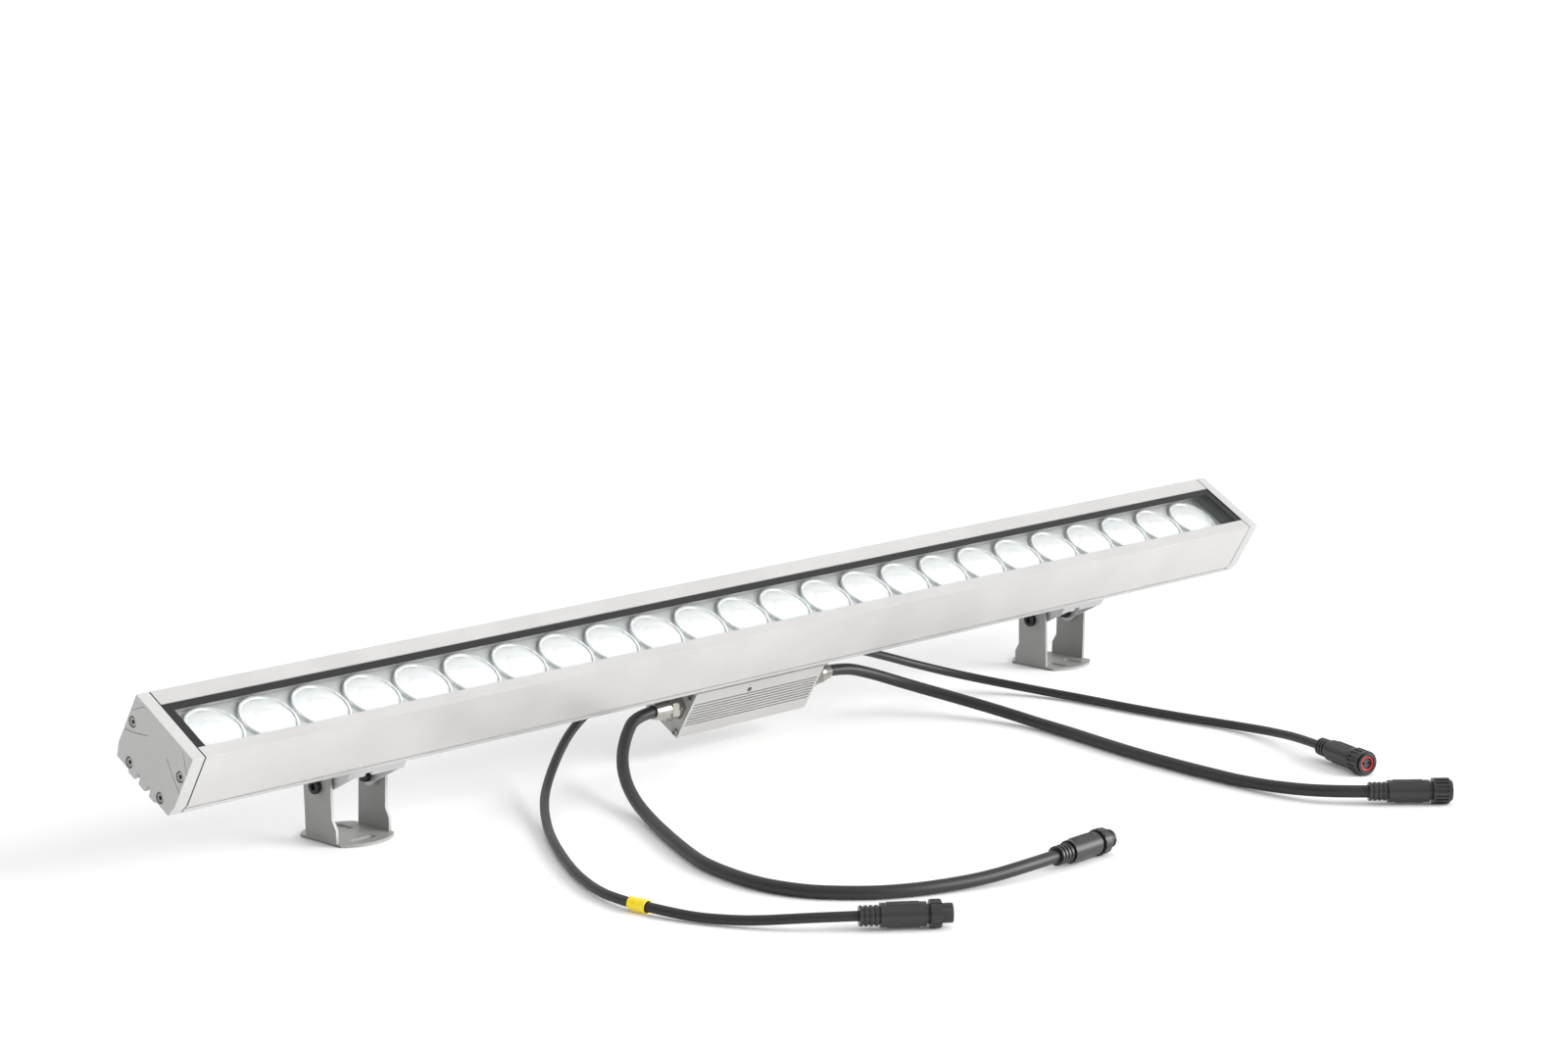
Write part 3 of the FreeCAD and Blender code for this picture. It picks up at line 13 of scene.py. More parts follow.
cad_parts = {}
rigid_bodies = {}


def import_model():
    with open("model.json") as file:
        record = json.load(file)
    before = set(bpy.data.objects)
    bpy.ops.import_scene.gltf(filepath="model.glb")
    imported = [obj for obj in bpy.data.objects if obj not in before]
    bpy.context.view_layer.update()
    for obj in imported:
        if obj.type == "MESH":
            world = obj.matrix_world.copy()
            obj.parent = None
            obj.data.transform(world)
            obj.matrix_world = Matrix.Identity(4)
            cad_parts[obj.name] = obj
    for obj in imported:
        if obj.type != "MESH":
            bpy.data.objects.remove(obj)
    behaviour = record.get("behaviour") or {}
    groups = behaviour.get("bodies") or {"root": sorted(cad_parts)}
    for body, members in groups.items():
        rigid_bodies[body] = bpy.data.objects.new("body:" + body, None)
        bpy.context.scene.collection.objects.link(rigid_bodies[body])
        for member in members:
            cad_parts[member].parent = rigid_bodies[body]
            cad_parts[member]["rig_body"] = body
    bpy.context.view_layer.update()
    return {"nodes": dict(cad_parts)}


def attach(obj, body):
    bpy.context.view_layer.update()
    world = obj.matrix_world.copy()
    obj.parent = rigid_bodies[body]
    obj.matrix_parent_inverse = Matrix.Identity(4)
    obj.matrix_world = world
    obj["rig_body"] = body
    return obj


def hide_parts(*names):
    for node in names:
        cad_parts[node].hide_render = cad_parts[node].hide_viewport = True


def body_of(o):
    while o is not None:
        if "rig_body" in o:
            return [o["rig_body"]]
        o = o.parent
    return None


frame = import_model()

LOG = logging.getLogger("wall_washer")
MM = 0.001
SHARP = math.radians(32)  # an edge that turns more than this stays sharp and gets eased
FLAT = math.radians(0.5)  # faces that turn less than this become one
MERGE = 2e-6  # vertices closer than this, in metres, become one
CORD_STEPS, CORD_ROUNDNESS = 10, 7
THREAD_SIDES, CREST_SIDES = 40, 6

# Widths of the eased edges in millimetres, and the steps that round each of them.
EASE_FINE, EASE_FILM, EASE_SCREW, EASE_SMALL, EASE_PART, EASE_BODY = 0.05, 0.1, 0.12, 0.15, 0.2, 0.25
EASE_STEPS = 2

# The lamp's own frame is (x, u, n): u runs up the face and n out of it, away from the pivot line.
PIVOT_BACK, PIVOT_HEIGHT, PIVOT_TO_FACE = 19.2 * MM, 35.8 * MM, 80 * MM
TILT = math.radians(30.39)
LAMP_PLACE = (
    Matrix.Translation((0.0, PIVOT_BACK, PIVOT_HEIGHT))
    @ Matrix.Rotation(TILT, 4, "X")
    @ Matrix.Translation((0.0, 0.0, PIVOT_TO_FACE))
)

# The driver's side grooves in that frame: their edge and floor along u,
# and the middle and half of their band along n.
GROOVE_EDGE, GROOVE_FLOOR = 21.9 * MM, 20.7 * MM
GROOVE_MIDDLE, GROOVE_HALF_BAND = -71 * MM, 18.2 * MM
# The painted shade on the groove floors, and how much of it they take.
GROOVE_PAINTED_SHADE, GROOVE_PAINTED_SHARE = "#8C8C8A", 0.7

# Noise values that give a finish its dark and light shade, and its glossiest and dullest spots.
SHADE_ENDS = (0.36, 0.64)
GLOSS_ENDS = (0.3, 0.7)
GRAIN_ROUGHNESS, PATCH_DETAIL, BUMP_STRENGTH = 0.6, 2.0, 0.6
COAT_ROUGHNESS, SUBSURFACE_WEIGHT = 0.12, 0.35


def linear(code: str) -> tuple[float, float, float, float]:
    """Turn an sRGB hex colour into Blender's linear colour.

    Args:
        code: The colour as "#RRGGBB".

    Returns:
        Red, green, blue and alpha, with alpha 1.
    """
    parts = [int(code[i:i + 2], 16) / 255 for i in (1, 3, 5)]
    red, green, blue = [c / 12.92 if c <= 0.04045 else ((c + 0.055) / 1.055) ** 2.4 for c in parts]
    return red, green, blue, 1.0


def node(tree: bpy.types.NodeTree, kind: str, inputs: dict[str | int, Any] | None = None,
         **settings: Any) -> bpy.types.Node:
    """Add one node with its settings and links.

    Args:
        tree: The tree that gets the node.
        kind: Blender's type name of the node.
        inputs: For each input, by name or number, a value, an output to link, or a list of outputs.
        settings: Properties of the node itself.

    Returns:
        The new node.
    """
    made = tree.nodes.new(kind)
    for name, value in settings.items():
        setattr(made, name, value)
    for key, value in (inputs or {}).items():
        ends = value if isinstance(value, list) else [value]
        if isinstance(ends[0], bpy.types.NodeSocket):
            for end in ends:
                tree.links.new(end, made.inputs[key])
        else:
            made.inputs[key].default_value = value
    return made


class Grain(Enum):
    """How a surface was made: the grain's stretch along x, y and z, and its amount of fine detail."""

    DRAWN = ((90.0, 1.0, 1.0), 3.0)  # die lines, which run the whole length of an extrusion
    BLASTED = ((1.0, 1.0, 1.0), 2.5)  # shot or bead marks, the same in every direction
    PEEL = ((1.0, 1.0, 1.0), 0.0)  # the soft waves of baked powder paint
    MOULDED = ((1.0, 1.0, 1.0), 4.0)  # the spark-eroded face of a mould


@dataclass(frozen=True)
class Finish:
    """One real surface: its colour between two shades, its gloss, and the grain that its making left."""

    name: str
    light: str
    dark: str
    roughness: float
    metallic: float = 0.0
    grain: Grain = Grain.BLASTED
    grain_mm: float = 0.6
    relief_mm: float = 0.02
    swing: float = 0.06
    patch_mm: float = 45.0
    ior: float | None = None
    coat: float = 0.0
    subsurface_mm: float = 0.0
    alpha: float = 1.0
    # whether the driver's groove floors get painted shade
    painted_groove_shade: bool = False

    def make(self) -> bpy.types.Material:
        """Build the material, or return it where it exists already."""
        found = bpy.data.materials.get(self.name)
        if found is not None:
            return found
        material = bpy.data.materials.new(self.name)
        material.use_nodes = True
        tree = material.node_tree
        tree.nodes.clear()
        stretch, detail = self.grain.value
        place = node(tree, "ShaderNodeTexCoord").outputs["Object"]
        scale = [1 / (self.grain_mm * MM * part) for part in stretch]
        spread = node(tree, "ShaderNodeMapping", {"Vector": place, "Scale": scale})
        grain = node(tree, "ShaderNodeTexNoise",
                     {"Vector": spread.outputs[0], "Scale": 1.0, "Detail": detail,
                      "Roughness": GRAIN_ROUGHNESS})
        patches = node(tree, "ShaderNodeTexNoise",
                       {"Vector": place, "Scale": 1 / (self.patch_mm * MM), "Detail": PATCH_DETAIL})
        blend = node(tree, "ShaderNodeMath", {0: grain.outputs[0], 1: patches.outputs[0]}, operation="ADD")
        shade = node(tree, "ShaderNodeMath", {0: blend.outputs[0], 1: 0.5}, operation="MULTIPLY")
        ramp = node(tree, "ShaderNodeValToRGB", {"Fac": shade.outputs[0]})
        for element, position, code in zip(ramp.color_ramp.elements, SHADE_ENDS, (self.dark, self.light)):
            element.position, element.color = position, linear(code)
        colour = self.paint_groove_shade(tree, place, ramp.outputs[0]) if self.painted_groove_shade else ramp.outputs[0]
        gloss = node(tree, "ShaderNodeMapRange",
                     {"Value": shade.outputs[0], "From Min": GLOSS_ENDS[0], "From Max": GLOSS_ENDS[1],
                      "To Min": self.roughness - self.swing, "To Max": self.roughness + self.swing})
        bump = node(tree, "ShaderNodeBump",
                    {"Strength": BUMP_STRENGTH, "Distance": self.relief_mm * MM,
                     "Height": grain.outputs[0]})
        shader = node(tree, "ShaderNodeBsdfPrincipled",
                      {"Base Color": colour, "Roughness": gloss.outputs[0], "Normal": bump.outputs[0],
                       "Metallic": self.metallic, "Coat Weight": self.coat,
                       "Coat Roughness": COAT_ROUGHNESS, "Alpha": self.alpha})
        if self.ior is not None:
            shader.inputs["IOR"].default_value = self.ior
        if self.subsurface_mm:
            shader.inputs["Subsurface Weight"].default_value = SUBSURFACE_WEIGHT
            shader.inputs["Subsurface Scale"].default_value = self.subsurface_mm * MM
        node(tree, "ShaderNodeOutputMaterial", {"Surface": shader.outputs[0]})
        return material

    def paint_groove_shade(self, tree: bpy.types.NodeTree, place: bpy.types.NodeSocket,
                     colour: bpy.types.NodeSocket) -> bpy.types.NodeSocket:
        """Paint shade on the floors of the driver's side grooves.

        Args:
            tree: The material's tree.
            place: The object coordinates.
            colour: The colour without the painted shade.

        Returns:
            The colour with the painted shade.
        """
        local = LAMP_PLACE.inverted()
        lamp_u = node(tree, "ShaderNodeVectorMath", {0: place, 1: local[1][:3]}, operation="DOT_PRODUCT")
        centred = node(tree, "ShaderNodeMath",
                       {0: lamp_u.outputs["Value"], 1: local[1][3]}, operation="ADD")
        reach = node(tree, "ShaderNodeMath", {0: centred.outputs[0]}, operation="ABSOLUTE")
        sunk = node(tree, "ShaderNodeMapRange",
                    {"Value": reach.outputs[0], "From Min": GROOVE_EDGE, "From Max": GROOVE_FLOOR,
                     "To Max": GROOVE_PAINTED_SHARE})
        lamp_n = node(tree, "ShaderNodeVectorMath", {0: place, 1: local[2][:3]}, operation="DOT_PRODUCT")
        depth = node(tree, "ShaderNodeMath", {0: lamp_n.outputs["Value"], 1: local[2][3]}, operation="ADD")
        between = node(tree, "ShaderNodeMath",
                       {0: depth.outputs[0], 1: GROOVE_MIDDLE, 2: GROOVE_HALF_BAND}, operation="COMPARE")
        share = node(tree, "ShaderNodeMath",
                     {0: sunk.outputs[0], 1: between.outputs[0]}, operation="MULTIPLY")
        mixed = node(tree, "ShaderNodeMix",
                     {0: share.outputs[0], 6: colour, 7: linear(GROOVE_PAINTED_SHADE)}, data_type="RGBA")
        return mixed.outputs[2]


@dataclass(frozen=True)
class LensFinish:
    """Moulded optical plastic over a white collimator: bright, glossy, with small pillows on its face."""

    name: str = "moulded_optical_acrylic"
    face_mm: float = 40.0
    pillow_mm: float = 2.4
    # The face's colours from its middle out: the lens's own white, with painted shade round the middle and
    # at the dish's edge, and a painted highlight on the rim.
    rings_with_painted_light: tuple[tuple[float, str], ...] = (
        (0.0, "#D8DADA"), (0.12, "#DADCDC"), (0.18, "#D1D3D3"), (0.26, "#DCDEDE"), (0.36, "#D8DADA"),
        (0.43, "#CBCDCD"), (0.455, "#E2E4E4"))
    cloud_mm: float = 9.0
    cloud_shift: float = 0.2
    pillow_randomness: float = 0.25
    pillow_strength: float = 0.55
    pillow_relief_mm: float = 0.35
    roughness: float = 0.14
    ior: float = 1.49
    coat: float = 0.6
    coat_roughness: float = 0.03
    scatter: float = 0.3
    scatter_mm: float = 1.5

    def make(self) -> bpy.types.Material:
        """Build the material, or return it where it exists already."""
        found = bpy.data.materials.get(self.name)
        if found is not None:
            return found
        material = bpy.data.materials.new(self.name)
        material.use_nodes = True
        tree = material.node_tree
        tree.nodes.clear()
        face = node(tree, "ShaderNodeUVMap", uv_map="lens_face").outputs[0]
        centred = node(tree, "ShaderNodeVectorMath", {0: face, 1: (0.5, 0.5, 0.0)}, operation="SUBTRACT")
        radius = node(tree, "ShaderNodeVectorMath", {0: centred.outputs[0]}, operation="LENGTH")
        clouds = node(tree, "ShaderNodeTexNoise",
                      {"Vector": face, "Scale": self.face_mm / self.cloud_mm, "Detail": PATCH_DETAIL},
                      noise_dimensions="2D")
        shift = node(tree, "ShaderNodeMath",
                     {0: clouds.outputs[0], 1: self.cloud_shift, 2: radius.outputs["Value"]},
                     operation="MULTIPLY_ADD")
        level = node(tree, "ShaderNodeMath",
                     {0: shift.outputs[0], 1: self.cloud_shift / 2}, operation="SUBTRACT")
        ramp = node(tree, "ShaderNodeValToRGB", {"Fac": level.outputs[0]})
        for _ in self.rings_with_painted_light[2:]:
            ramp.color_ramp.elements.new(0.5)
        for element, (position, code) in zip(ramp.color_ramp.elements, self.rings_with_painted_light):
            element.position, element.color = position, linear(code)
        pillows = node(tree, "ShaderNodeTexVoronoi",
                       {"Vector": face, "Scale": self.face_mm / self.pillow_mm,
                        "Randomness": self.pillow_randomness},
                       voronoi_dimensions="2D")
        bump = node(tree, "ShaderNodeBump",
                    {"Strength": self.pillow_strength, "Distance": self.pillow_relief_mm * MM,
                     "Height": pillows.outputs["Distance"]}, invert=True)
        shader = node(tree, "ShaderNodeBsdfPrincipled",
                      {"Base Color": ramp.outputs[0], "Roughness": self.roughness, "IOR": self.ior,
                       "Normal": bump.outputs[0], "Coat Weight": self.coat,
                       "Coat Roughness": self.coat_roughness, "Subsurface Weight": self.scatter,
                       "Subsurface Scale": self.scatter_mm * MM})
        node(tree, "ShaderNodeOutputMaterial", {"Surface": shader.outputs[0]})
        return material


# Anodised aluminium, extruded: an even satin silver in which faint die lines run along the lamp.
ANODISED = Finish("anodised_aluminium_satin", "#C1C0BF", "#B8B7B6", 0.46, 0.40, Grain.DRAWN, 0.5, 0.012)
# The driver's extrusion is the same; its narrow grooves get painted shade on their floors.
FINNED = Finish("anodised_aluminium_finned", "#B9B8B6", "#AFAEAC", 0.42, 0.45, Grain.DRAWN, 0.4, 0.012,
                painted_groove_shade=True)
# Die-cast aluminium under baked powder paint: the housing's silver, but softer and without lines.
CAST_PAINT = Finish("powder_coated_casting", "#B8B8B7", "#B1B1B0", 0.46, 0.15, Grain.PEEL, 1.1, 0.03)
# Stamped end plate of the driver, under a thin coat, its tone a little darker than the cap's as painted
# shade.
SHADED_PLATE_PAINT = Finish("shaded_end_plate_paint", "#B2B2B0", "#A6A6A4", 0.44, 0.15, Grain.PEEL, 0.8, 0.02)
# Bent sheet steel under powder paint, a shade darker than the cap.
BRACKET_PAINT = Finish("powder_coated_sheet", "#989896", "#90908E", 0.46, 0.15, Grain.PEEL, 0.9, 0.03)
# Extruded and sawn aluminium, left plain: small parts that slide in the housing's rear groove.
MILL_ALUMINIUM = Finish("mill_aluminium", "#BDBEBE", "#AFB0B1", 0.40, 0.5, Grain.DRAWN, 0.4, 0.015)
# EPDM rubber, moulded: dead black with a faint bloom.
SEAL_RUBBER = Finish("moulded_epdm", "#0C0C0D", "#080809", 0.66, grain=Grain.MOULDED, grain_mm=0.5)
# Cable jacket, extruded rubber: black, with a soft grey light along its top.
JACKET_RUBBER = Finish("extruded_cable_rubber", "#212122", "#19191A", 0.44, grain=Grain.BLASTED,
                       grain_mm=0.9, relief_mm=0.03, swing=0.05)
# Glass-filled nylon, moulded: black, with the fine spark texture of the mould.
BLACK_NYLON = Finish("moulded_black_nylon", "#29292A", "#202021", 0.36, grain=Grain.MOULDED, grain_mm=0.6,
                     relief_mm=0.03, ior=1.53)
# Nickel-plated brass, turned: a grey mirror, a little clouded and warm.
NICKEL = Finish("nickel_plated_brass", "#B8B6B0", "#A2A09A", 0.20, 1.0, Grain.BLASTED, 0.8, 0.006, 0.05)
# Stainless steel, cold headed: grey socket screws.
STAINLESS = Finish("stainless_screw", "#A09F9D", "#807F7D", 0.28, 1.0, Grain.BLASTED, 0.4, 0.006)
# Blackened steel: the bolts and screws that sit in the shade.
DARK_STEEL = Finish("blackened_screw", "#3F3F40", "#2C2C2D", 0.36, 0.9, Grain.BLASTED, 0.4, 0.006)
# Polycarbonate tray, moulded: a calm grey between the lenses.
TRAY_PLASTIC = Finish("moulded_grey_polycarbonate", "#BABDBC", "#B0B3B2", 0.42, grain=Grain.MOULDED,
                      grain_mm=0.7, ior=1.58)
# Toughened float glass: clear, a trace of green, with a thin painted reflection of the room's white laid
# over it.
COVER_GLASS = Finish("toughened_glass", "#E6EEEC", "#DFE8E6", 0.03, grain=Grain.PEEL, grain_mm=60.0,
                     relief_mm=0.002, swing=0.01, ior=1.52, alpha=0.03)
# Solder mask on the light board: flat white.
WHITE_MASK = Finish("white_solder_mask", "#EDEEEC", "#E2E3E1", 0.35, grain_mm=0.5)
# Phosphor in silicone: warm yellow dots.
PHOSPHOR = Finish("phosphor_silicone", "#E9D98A", "#DCC66A", 0.30, grain_mm=0.3, subsurface_mm=0.4)
# Contact carrier, moulded: dark grey nylon.
CARRIER_NYLON = Finish("moulded_grey_nylon", "#3A3B3D", "#303133", 0.45, grain=Grain.MOULDED, grain_mm=0.4)
# Silicone ring in the sockets: soft red.
RED_SILICONE = Finish("red_silicone", "#C4231B", "#A81913", 0.38, grain_mm=0.5, subsurface_mm=0.6)
# Heat-shrink sleeve: bright yellow film, slightly wrinkled.
YELLOW_SLEEVE = Finish("yellow_shrink_sleeve", "#FFE804", "#FFE002", 0.30, grain=Grain.PEEL, grain_mm=3.0,
                       relief_mm=0.12, coat=0.3)
# Epoxy board, copper coil, aluminium can and silicone lead inside the driver.
GREEN_MASK = Finish("green_solder_mask", "#1E6B3C", "#175730", 0.35, grain_mm=0.6)
COIL_TAPE = Finish("yellow_coil_tape", "#E2B53A", "#CFA22D", 0.40, grain=Grain.PEEL, grain_mm=1.5)
CAN_SLEEVE = Finish("black_can_sleeve", "#1D1D20", "#151517", 0.30, grain_mm=0.5)
LEAD_SILICONE = Finish("white_silicone_lead", "#E9E7E2", "#DCDAD5", 0.45, grain_mm=0.6)
# Studio paper: matt white.
PAPER = Finish("studio_paper", "#FAFAFA", "#F9F9F9", 0.85, grain_mm=2.0, relief_mm=0.0, patch_mm=900.0)
LENS = LensFinish()


def settle(piece: bpy.types.Object, body: str, slot: str, *nodes: str) -> bpy.types.Object:
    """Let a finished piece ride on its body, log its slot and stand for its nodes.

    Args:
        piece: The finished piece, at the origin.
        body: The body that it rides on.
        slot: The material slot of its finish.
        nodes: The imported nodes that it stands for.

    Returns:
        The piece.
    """
    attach(piece, body)
    if nodes:
        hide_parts(*nodes)
    LOG.info("%s on %s, finish %s", piece.name, body, slot)
    return piece


def eased(name: str, slot: str, finish: Finish, ease_mm: float) -> bpy.types.Object:
    """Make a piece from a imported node, with whole faces, smooth curves and eased edges.

    Args:
        name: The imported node.
        slot: The material slot of its finish.
        finish: The surface that it gets.
        ease_mm: How wide the eased edge is, or 0 for none.

    Returns:
        The piece, which stands for the node.
    """
    source = frame["nodes"][name]
    mesh = bpy.data.meshes.new(f"{name}_eased")
    corners = [vertex.co for vertex in source.data.vertices]
    mesh.from_pydata(corners, [], [tuple(face.vertices) for face in source.data.polygons])
    work = bmesh.new()
    work.from_mesh(mesh)
    bmesh.ops.remove_doubles(work, verts=work.verts, dist=MERGE)
    bmesh.ops.dissolve_limit(work, angle_limit=FLAT, verts=work.verts, edges=work.edges)
    for face in work.faces:
        face.smooth = True
    for edge in work.edges:
        edge.smooth = len(edge.link_faces) == 2 and edge.calc_face_angle(0.0) < SHARP
    work.to_mesh(mesh)
    work.free()
    mesh.materials.append(finish.make())
    piece = bpy.data.objects.new(f"{name}_eased", mesh)
    bpy.context.scene.collection.objects.link(piece)
    if ease_mm:
        bevel = piece.modifiers.new("eased_edges", "BEVEL")
        bevel.width, bevel.segments = ease_mm * MM, EASE_STEPS
        bevel.limit_method, bevel.angle_limit = "ANGLE", SHARP
        bevel.harden_normals = True
    return settle(piece, body_of(source)[0], slot, name)


def kept(name: str, finish: Finish) -> None:
    """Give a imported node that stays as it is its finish.

    Args:
        name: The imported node.
        finish: The surface that it gets.
    """
    source = frame["nodes"][name]
    for held in source.material_slots:
        held.material = finish.make()
    LOG.info("%s kept, finish %s, slots %s", name, finish.name, len(source.material_slots))


def turned(name: str, profile: list[tuple[float, float]], sides: int, span: float) -> bpy.types.Mesh:
    """Turn a profile about the z axis into a closed mesh with a flat map of its face.

    Args:
        name: The name of the mesh.
        profile: Radius and height of each ring in metres, with radius 0 at both ends.
        sides: How many sides a ring has.
        span: The width in metres that the map covers.

    Returns:
        The mesh, with a UV map named lens_face.
    """
    work = bmesh.new()
    rings = []
    for radius, height in profile:
        count = sides if radius > 0 else 1
        angles = [2 * math.pi * k / count for k in range(count)]
        rings.append([work.verts.new((radius * math.cos(a), radius * math.sin(a), height)) for a in angles])
    for upper, lower in zip(rings, rings[1:]):
        for k in range(sides):
            following = (k + 1) % sides
            corners = [upper[k % len(upper)], upper[following % len(upper)],
                       lower[following % len(lower)], lower[k % len(lower)]]
            work.faces.new(list(dict.fromkeys(corners)))
    bmesh.ops.recalc_face_normals(work, faces=work.faces)
    flat_map = work.loops.layers.uv.new("lens_face")
    for face in work.faces:
        face.smooth = True
        for corner in face.loops:
            corner[flat_map].uv = (corner.vert.co.x / span + 0.5, corner.vert.co.y / span + 0.5)
    for edge in work.edges:
        edge.smooth = edge.calc_face_angle(0.0) < SHARP
    mesh = bpy.data.meshes.new(name)
    work.to_mesh(mesh)
    work.free()
    return mesh


def sockets(tree: bpy.types.NodeTree, kinds: dict[str, str]) -> dict[str, str]:
    """Give a tree its geometry sockets and named inputs.

    Args:
        tree: The new tree.
        kinds: Each input's name and the kind of its socket.

    Returns:
        Each input's identifier by its name.
    """
    add = tree.interface.new_socket
    add(name="Geometry", in_out="OUTPUT", socket_type="NodeSocketGeometry")
    add(name="Geometry", in_out="INPUT", socket_type="NodeSocketGeometry")
    return {name: add(name=name, in_out="INPUT", socket_type=f"NodeSocket{kind}").identifier
            for name, kind in kinds.items()}


def close(tree: bpy.types.NodeTree, instances: bpy.types.NodeSocket, finish: bpy.types.NodeSocket) -> None:
    """End a tree: make its instances real and give them their finish.

    Args:
        tree: The tree.
        instances: The instances.
        finish: The input that holds the finish.
    """
    real = node(tree, "GeometryNodeRealizeInstances", {"Geometry": instances})
    coated = node(tree, "GeometryNodeSetMaterial", {"Geometry": real.outputs[0], "Material": finish})
    node(tree, "NodeGroupOutput", {"Geometry": coated.outputs[0]})


def grown(tree: bpy.types.NodeTree, keys: dict[str, str], values: dict[str, Any]) -> bpy.types.Mesh:
    """Run a geometry tree once and keep what it makes as a plain mesh.

    Args:
        tree: The tree.
        keys: Each input's identifier by its name.
        values: Each input's value by its name.

    Returns:
        The mesh.
    """
    maker = bpy.data.objects.new("maker", bpy.data.meshes.new("maker"))
    bpy.context.scene.collection.objects.link(maker)
    live = maker.modifiers.new(tree.name, "NODES")
    live.node_group = tree
    for name, value in values.items():
        live[keys[name]] = value
    mesh = bpy.data.meshes.new_from_object(maker.evaluated_get(bpy.context.evaluated_depsgraph_get()))
    bpy.data.objects.remove(maker)
    return mesh


def joined(name: str, meshes: list[bpy.types.Mesh], finish: Finish) -> bpy.types.Object:
    """Join meshes of one finish into one object.

    Args:
        name: The name of the object.
        meshes: The meshes, which are used up.
        finish: Their finish.

    Returns:
        The object, linked to the scene.
    """
    work = bmesh.new()
    for mesh in meshes:
        work.from_mesh(mesh)
        bpy.data.meshes.remove(mesh)
    whole = bpy.data.meshes.new(name)
    work.to_mesh(whole)
    work.free()
    whole.materials.clear()
    whole.materials.append(finish.make())
    piece = bpy.data.objects.new(name, whole)
    bpy.context.scene.collection.objects.link(piece)
    return piece


@dataclass(frozen=True)
class Studio:
    """Camera, paper floor and soft light, as the photograph has them."""

    camera_at: tuple[float, float, float] = (-1.8278, -1.7854, 0.6327)
    camera_turn_deg: tuple[float, float, float] = (79.37, 0.0, -46.22)
    lens_mm: float = 89.74
    sensor_mm: float = 36.0
    floor_reach: float = 45.0
    room_light: float = 0.45
    suns: tuple[tuple[str, tuple[float, float, float], float, float], ...] = (
        ("front_softbox", (0.52, -0.82, 0.24), 5.3, 55.0), ("top_softbox", (0.25, 0.05, 1.0), 1.4, 140.0))

    def build(self) -> None:
        """Set the camera, the room's light and the floor."""
        scene = bpy.context.scene
        camera = bpy.data.objects.new("camera", bpy.data.cameras.new("camera"))
        camera.data.lens, camera.data.sensor_width = self.lens_mm, self.sensor_mm
        camera.location = self.camera_at
        camera.rotation_euler = [math.radians(turn) for turn in self.camera_turn_deg]
        scene.collection.objects.link(camera)
        scene.camera = camera
        world = bpy.data.worlds.new("white_room")
        world.use_nodes = True
        world.node_tree.nodes.clear()
        back = node(world.node_tree, "ShaderNodeBackground",
                    {"Color": linear("#FFFFFF"), "Strength": self.room_light})
        node(world.node_tree, "ShaderNodeOutputWorld", {"Surface": back.outputs[0]})
        scene.world = world
        scene.view_settings.view_transform = "Standard"
        for name, towards, strength, spread in self.suns:
            light = bpy.data.objects.new(name, bpy.data.lights.new(name, "SUN"))
            light.data.energy, light.data.angle = strength, math.radians(spread)
            light.rotation_euler = Vector(towards).to_track_quat("Z", "Y").to_euler()
            scene.collection.objects.link(light)
        reach = self.floor_reach
        mesh = bpy.data.meshes.new("paper_floor")
        corners = [(-reach, -reach, 0), (reach, -reach, 0), (reach, reach, 0), (-reach, reach, 0)]
        mesh.from_pydata(corners, [], [(0, 1, 2, 3)])
        mesh.materials.append(PAPER.make())
        floor = bpy.data.objects.new("paper_floor", mesh)
        scene.collection.objects.link(floor)
        LOG.info("camera, light and floor")


Point = tuple[float, float, float]


@dataclass(frozen=True)
class Lead:
    """One rubber lead from its gland to its moulded connector, on the source's route in millimetres."""

    letter: str
    cord: str
    diameter_mm: float
    length_mm: float
    gland_tip_mm: float
    route_mm: tuple[Point, ...]
    extras: tuple[str, ...] = ()

    def line(self) -> bpy.types.Object:
        """Make the cord as one smooth spline over the route's points."""
        curve = bpy.data.curves.new(f"{self.cord}_lead", "CURVE")
        curve.dimensions = "3D"
        spline = curve.splines.new("NURBS")
        spline.points.add(len(self.route_mm) - 1)
        for point, place in zip(spline.points, self.route_mm):
            point.co = (*[part * MM for part in place], 1.0)
        spline.order_u = 3
        spline.use_endpoint_u = True
        spline.resolution_u = CORD_STEPS
        curve.bevel_depth = self.diameter_mm / 2 * MM
        curve.bevel_resolution = CORD_ROUNDNESS
        curve.use_fill_caps = True
        curve.materials.append(JACKET_RUBBER.make())
        piece = bpy.data.objects.new(f"{self.cord}_lead", curve)
        bpy.context.scene.collection.objects.link(piece)
        return piece

    def build(self, trees: "ReliefTree") -> None:
        """Args:
            trees: The trees that make the connectors' ribs.
        """
        carried = [
            RELIEFS[self.letter].build(trees),
            eased(f"connector_{self.letter}", "connector_plastic", BLACK_NYLON, EASE_BODY),
            eased(f"contact_insert_{self.letter}", "insert_grey", CARRIER_NYLON, EASE_FINE),
        ]
        for extra in self.extras:
            if extra == "cable_tag":
                carried.append(eased(extra, "tag_yellow", YELLOW_SLEEVE, EASE_FILM))
            else:
                carried.append(eased(extra, "connector_plastic", BLACK_NYLON, EASE_PART))
        piece = settle(self.line(), "root", "cord_rubber", self.cord)


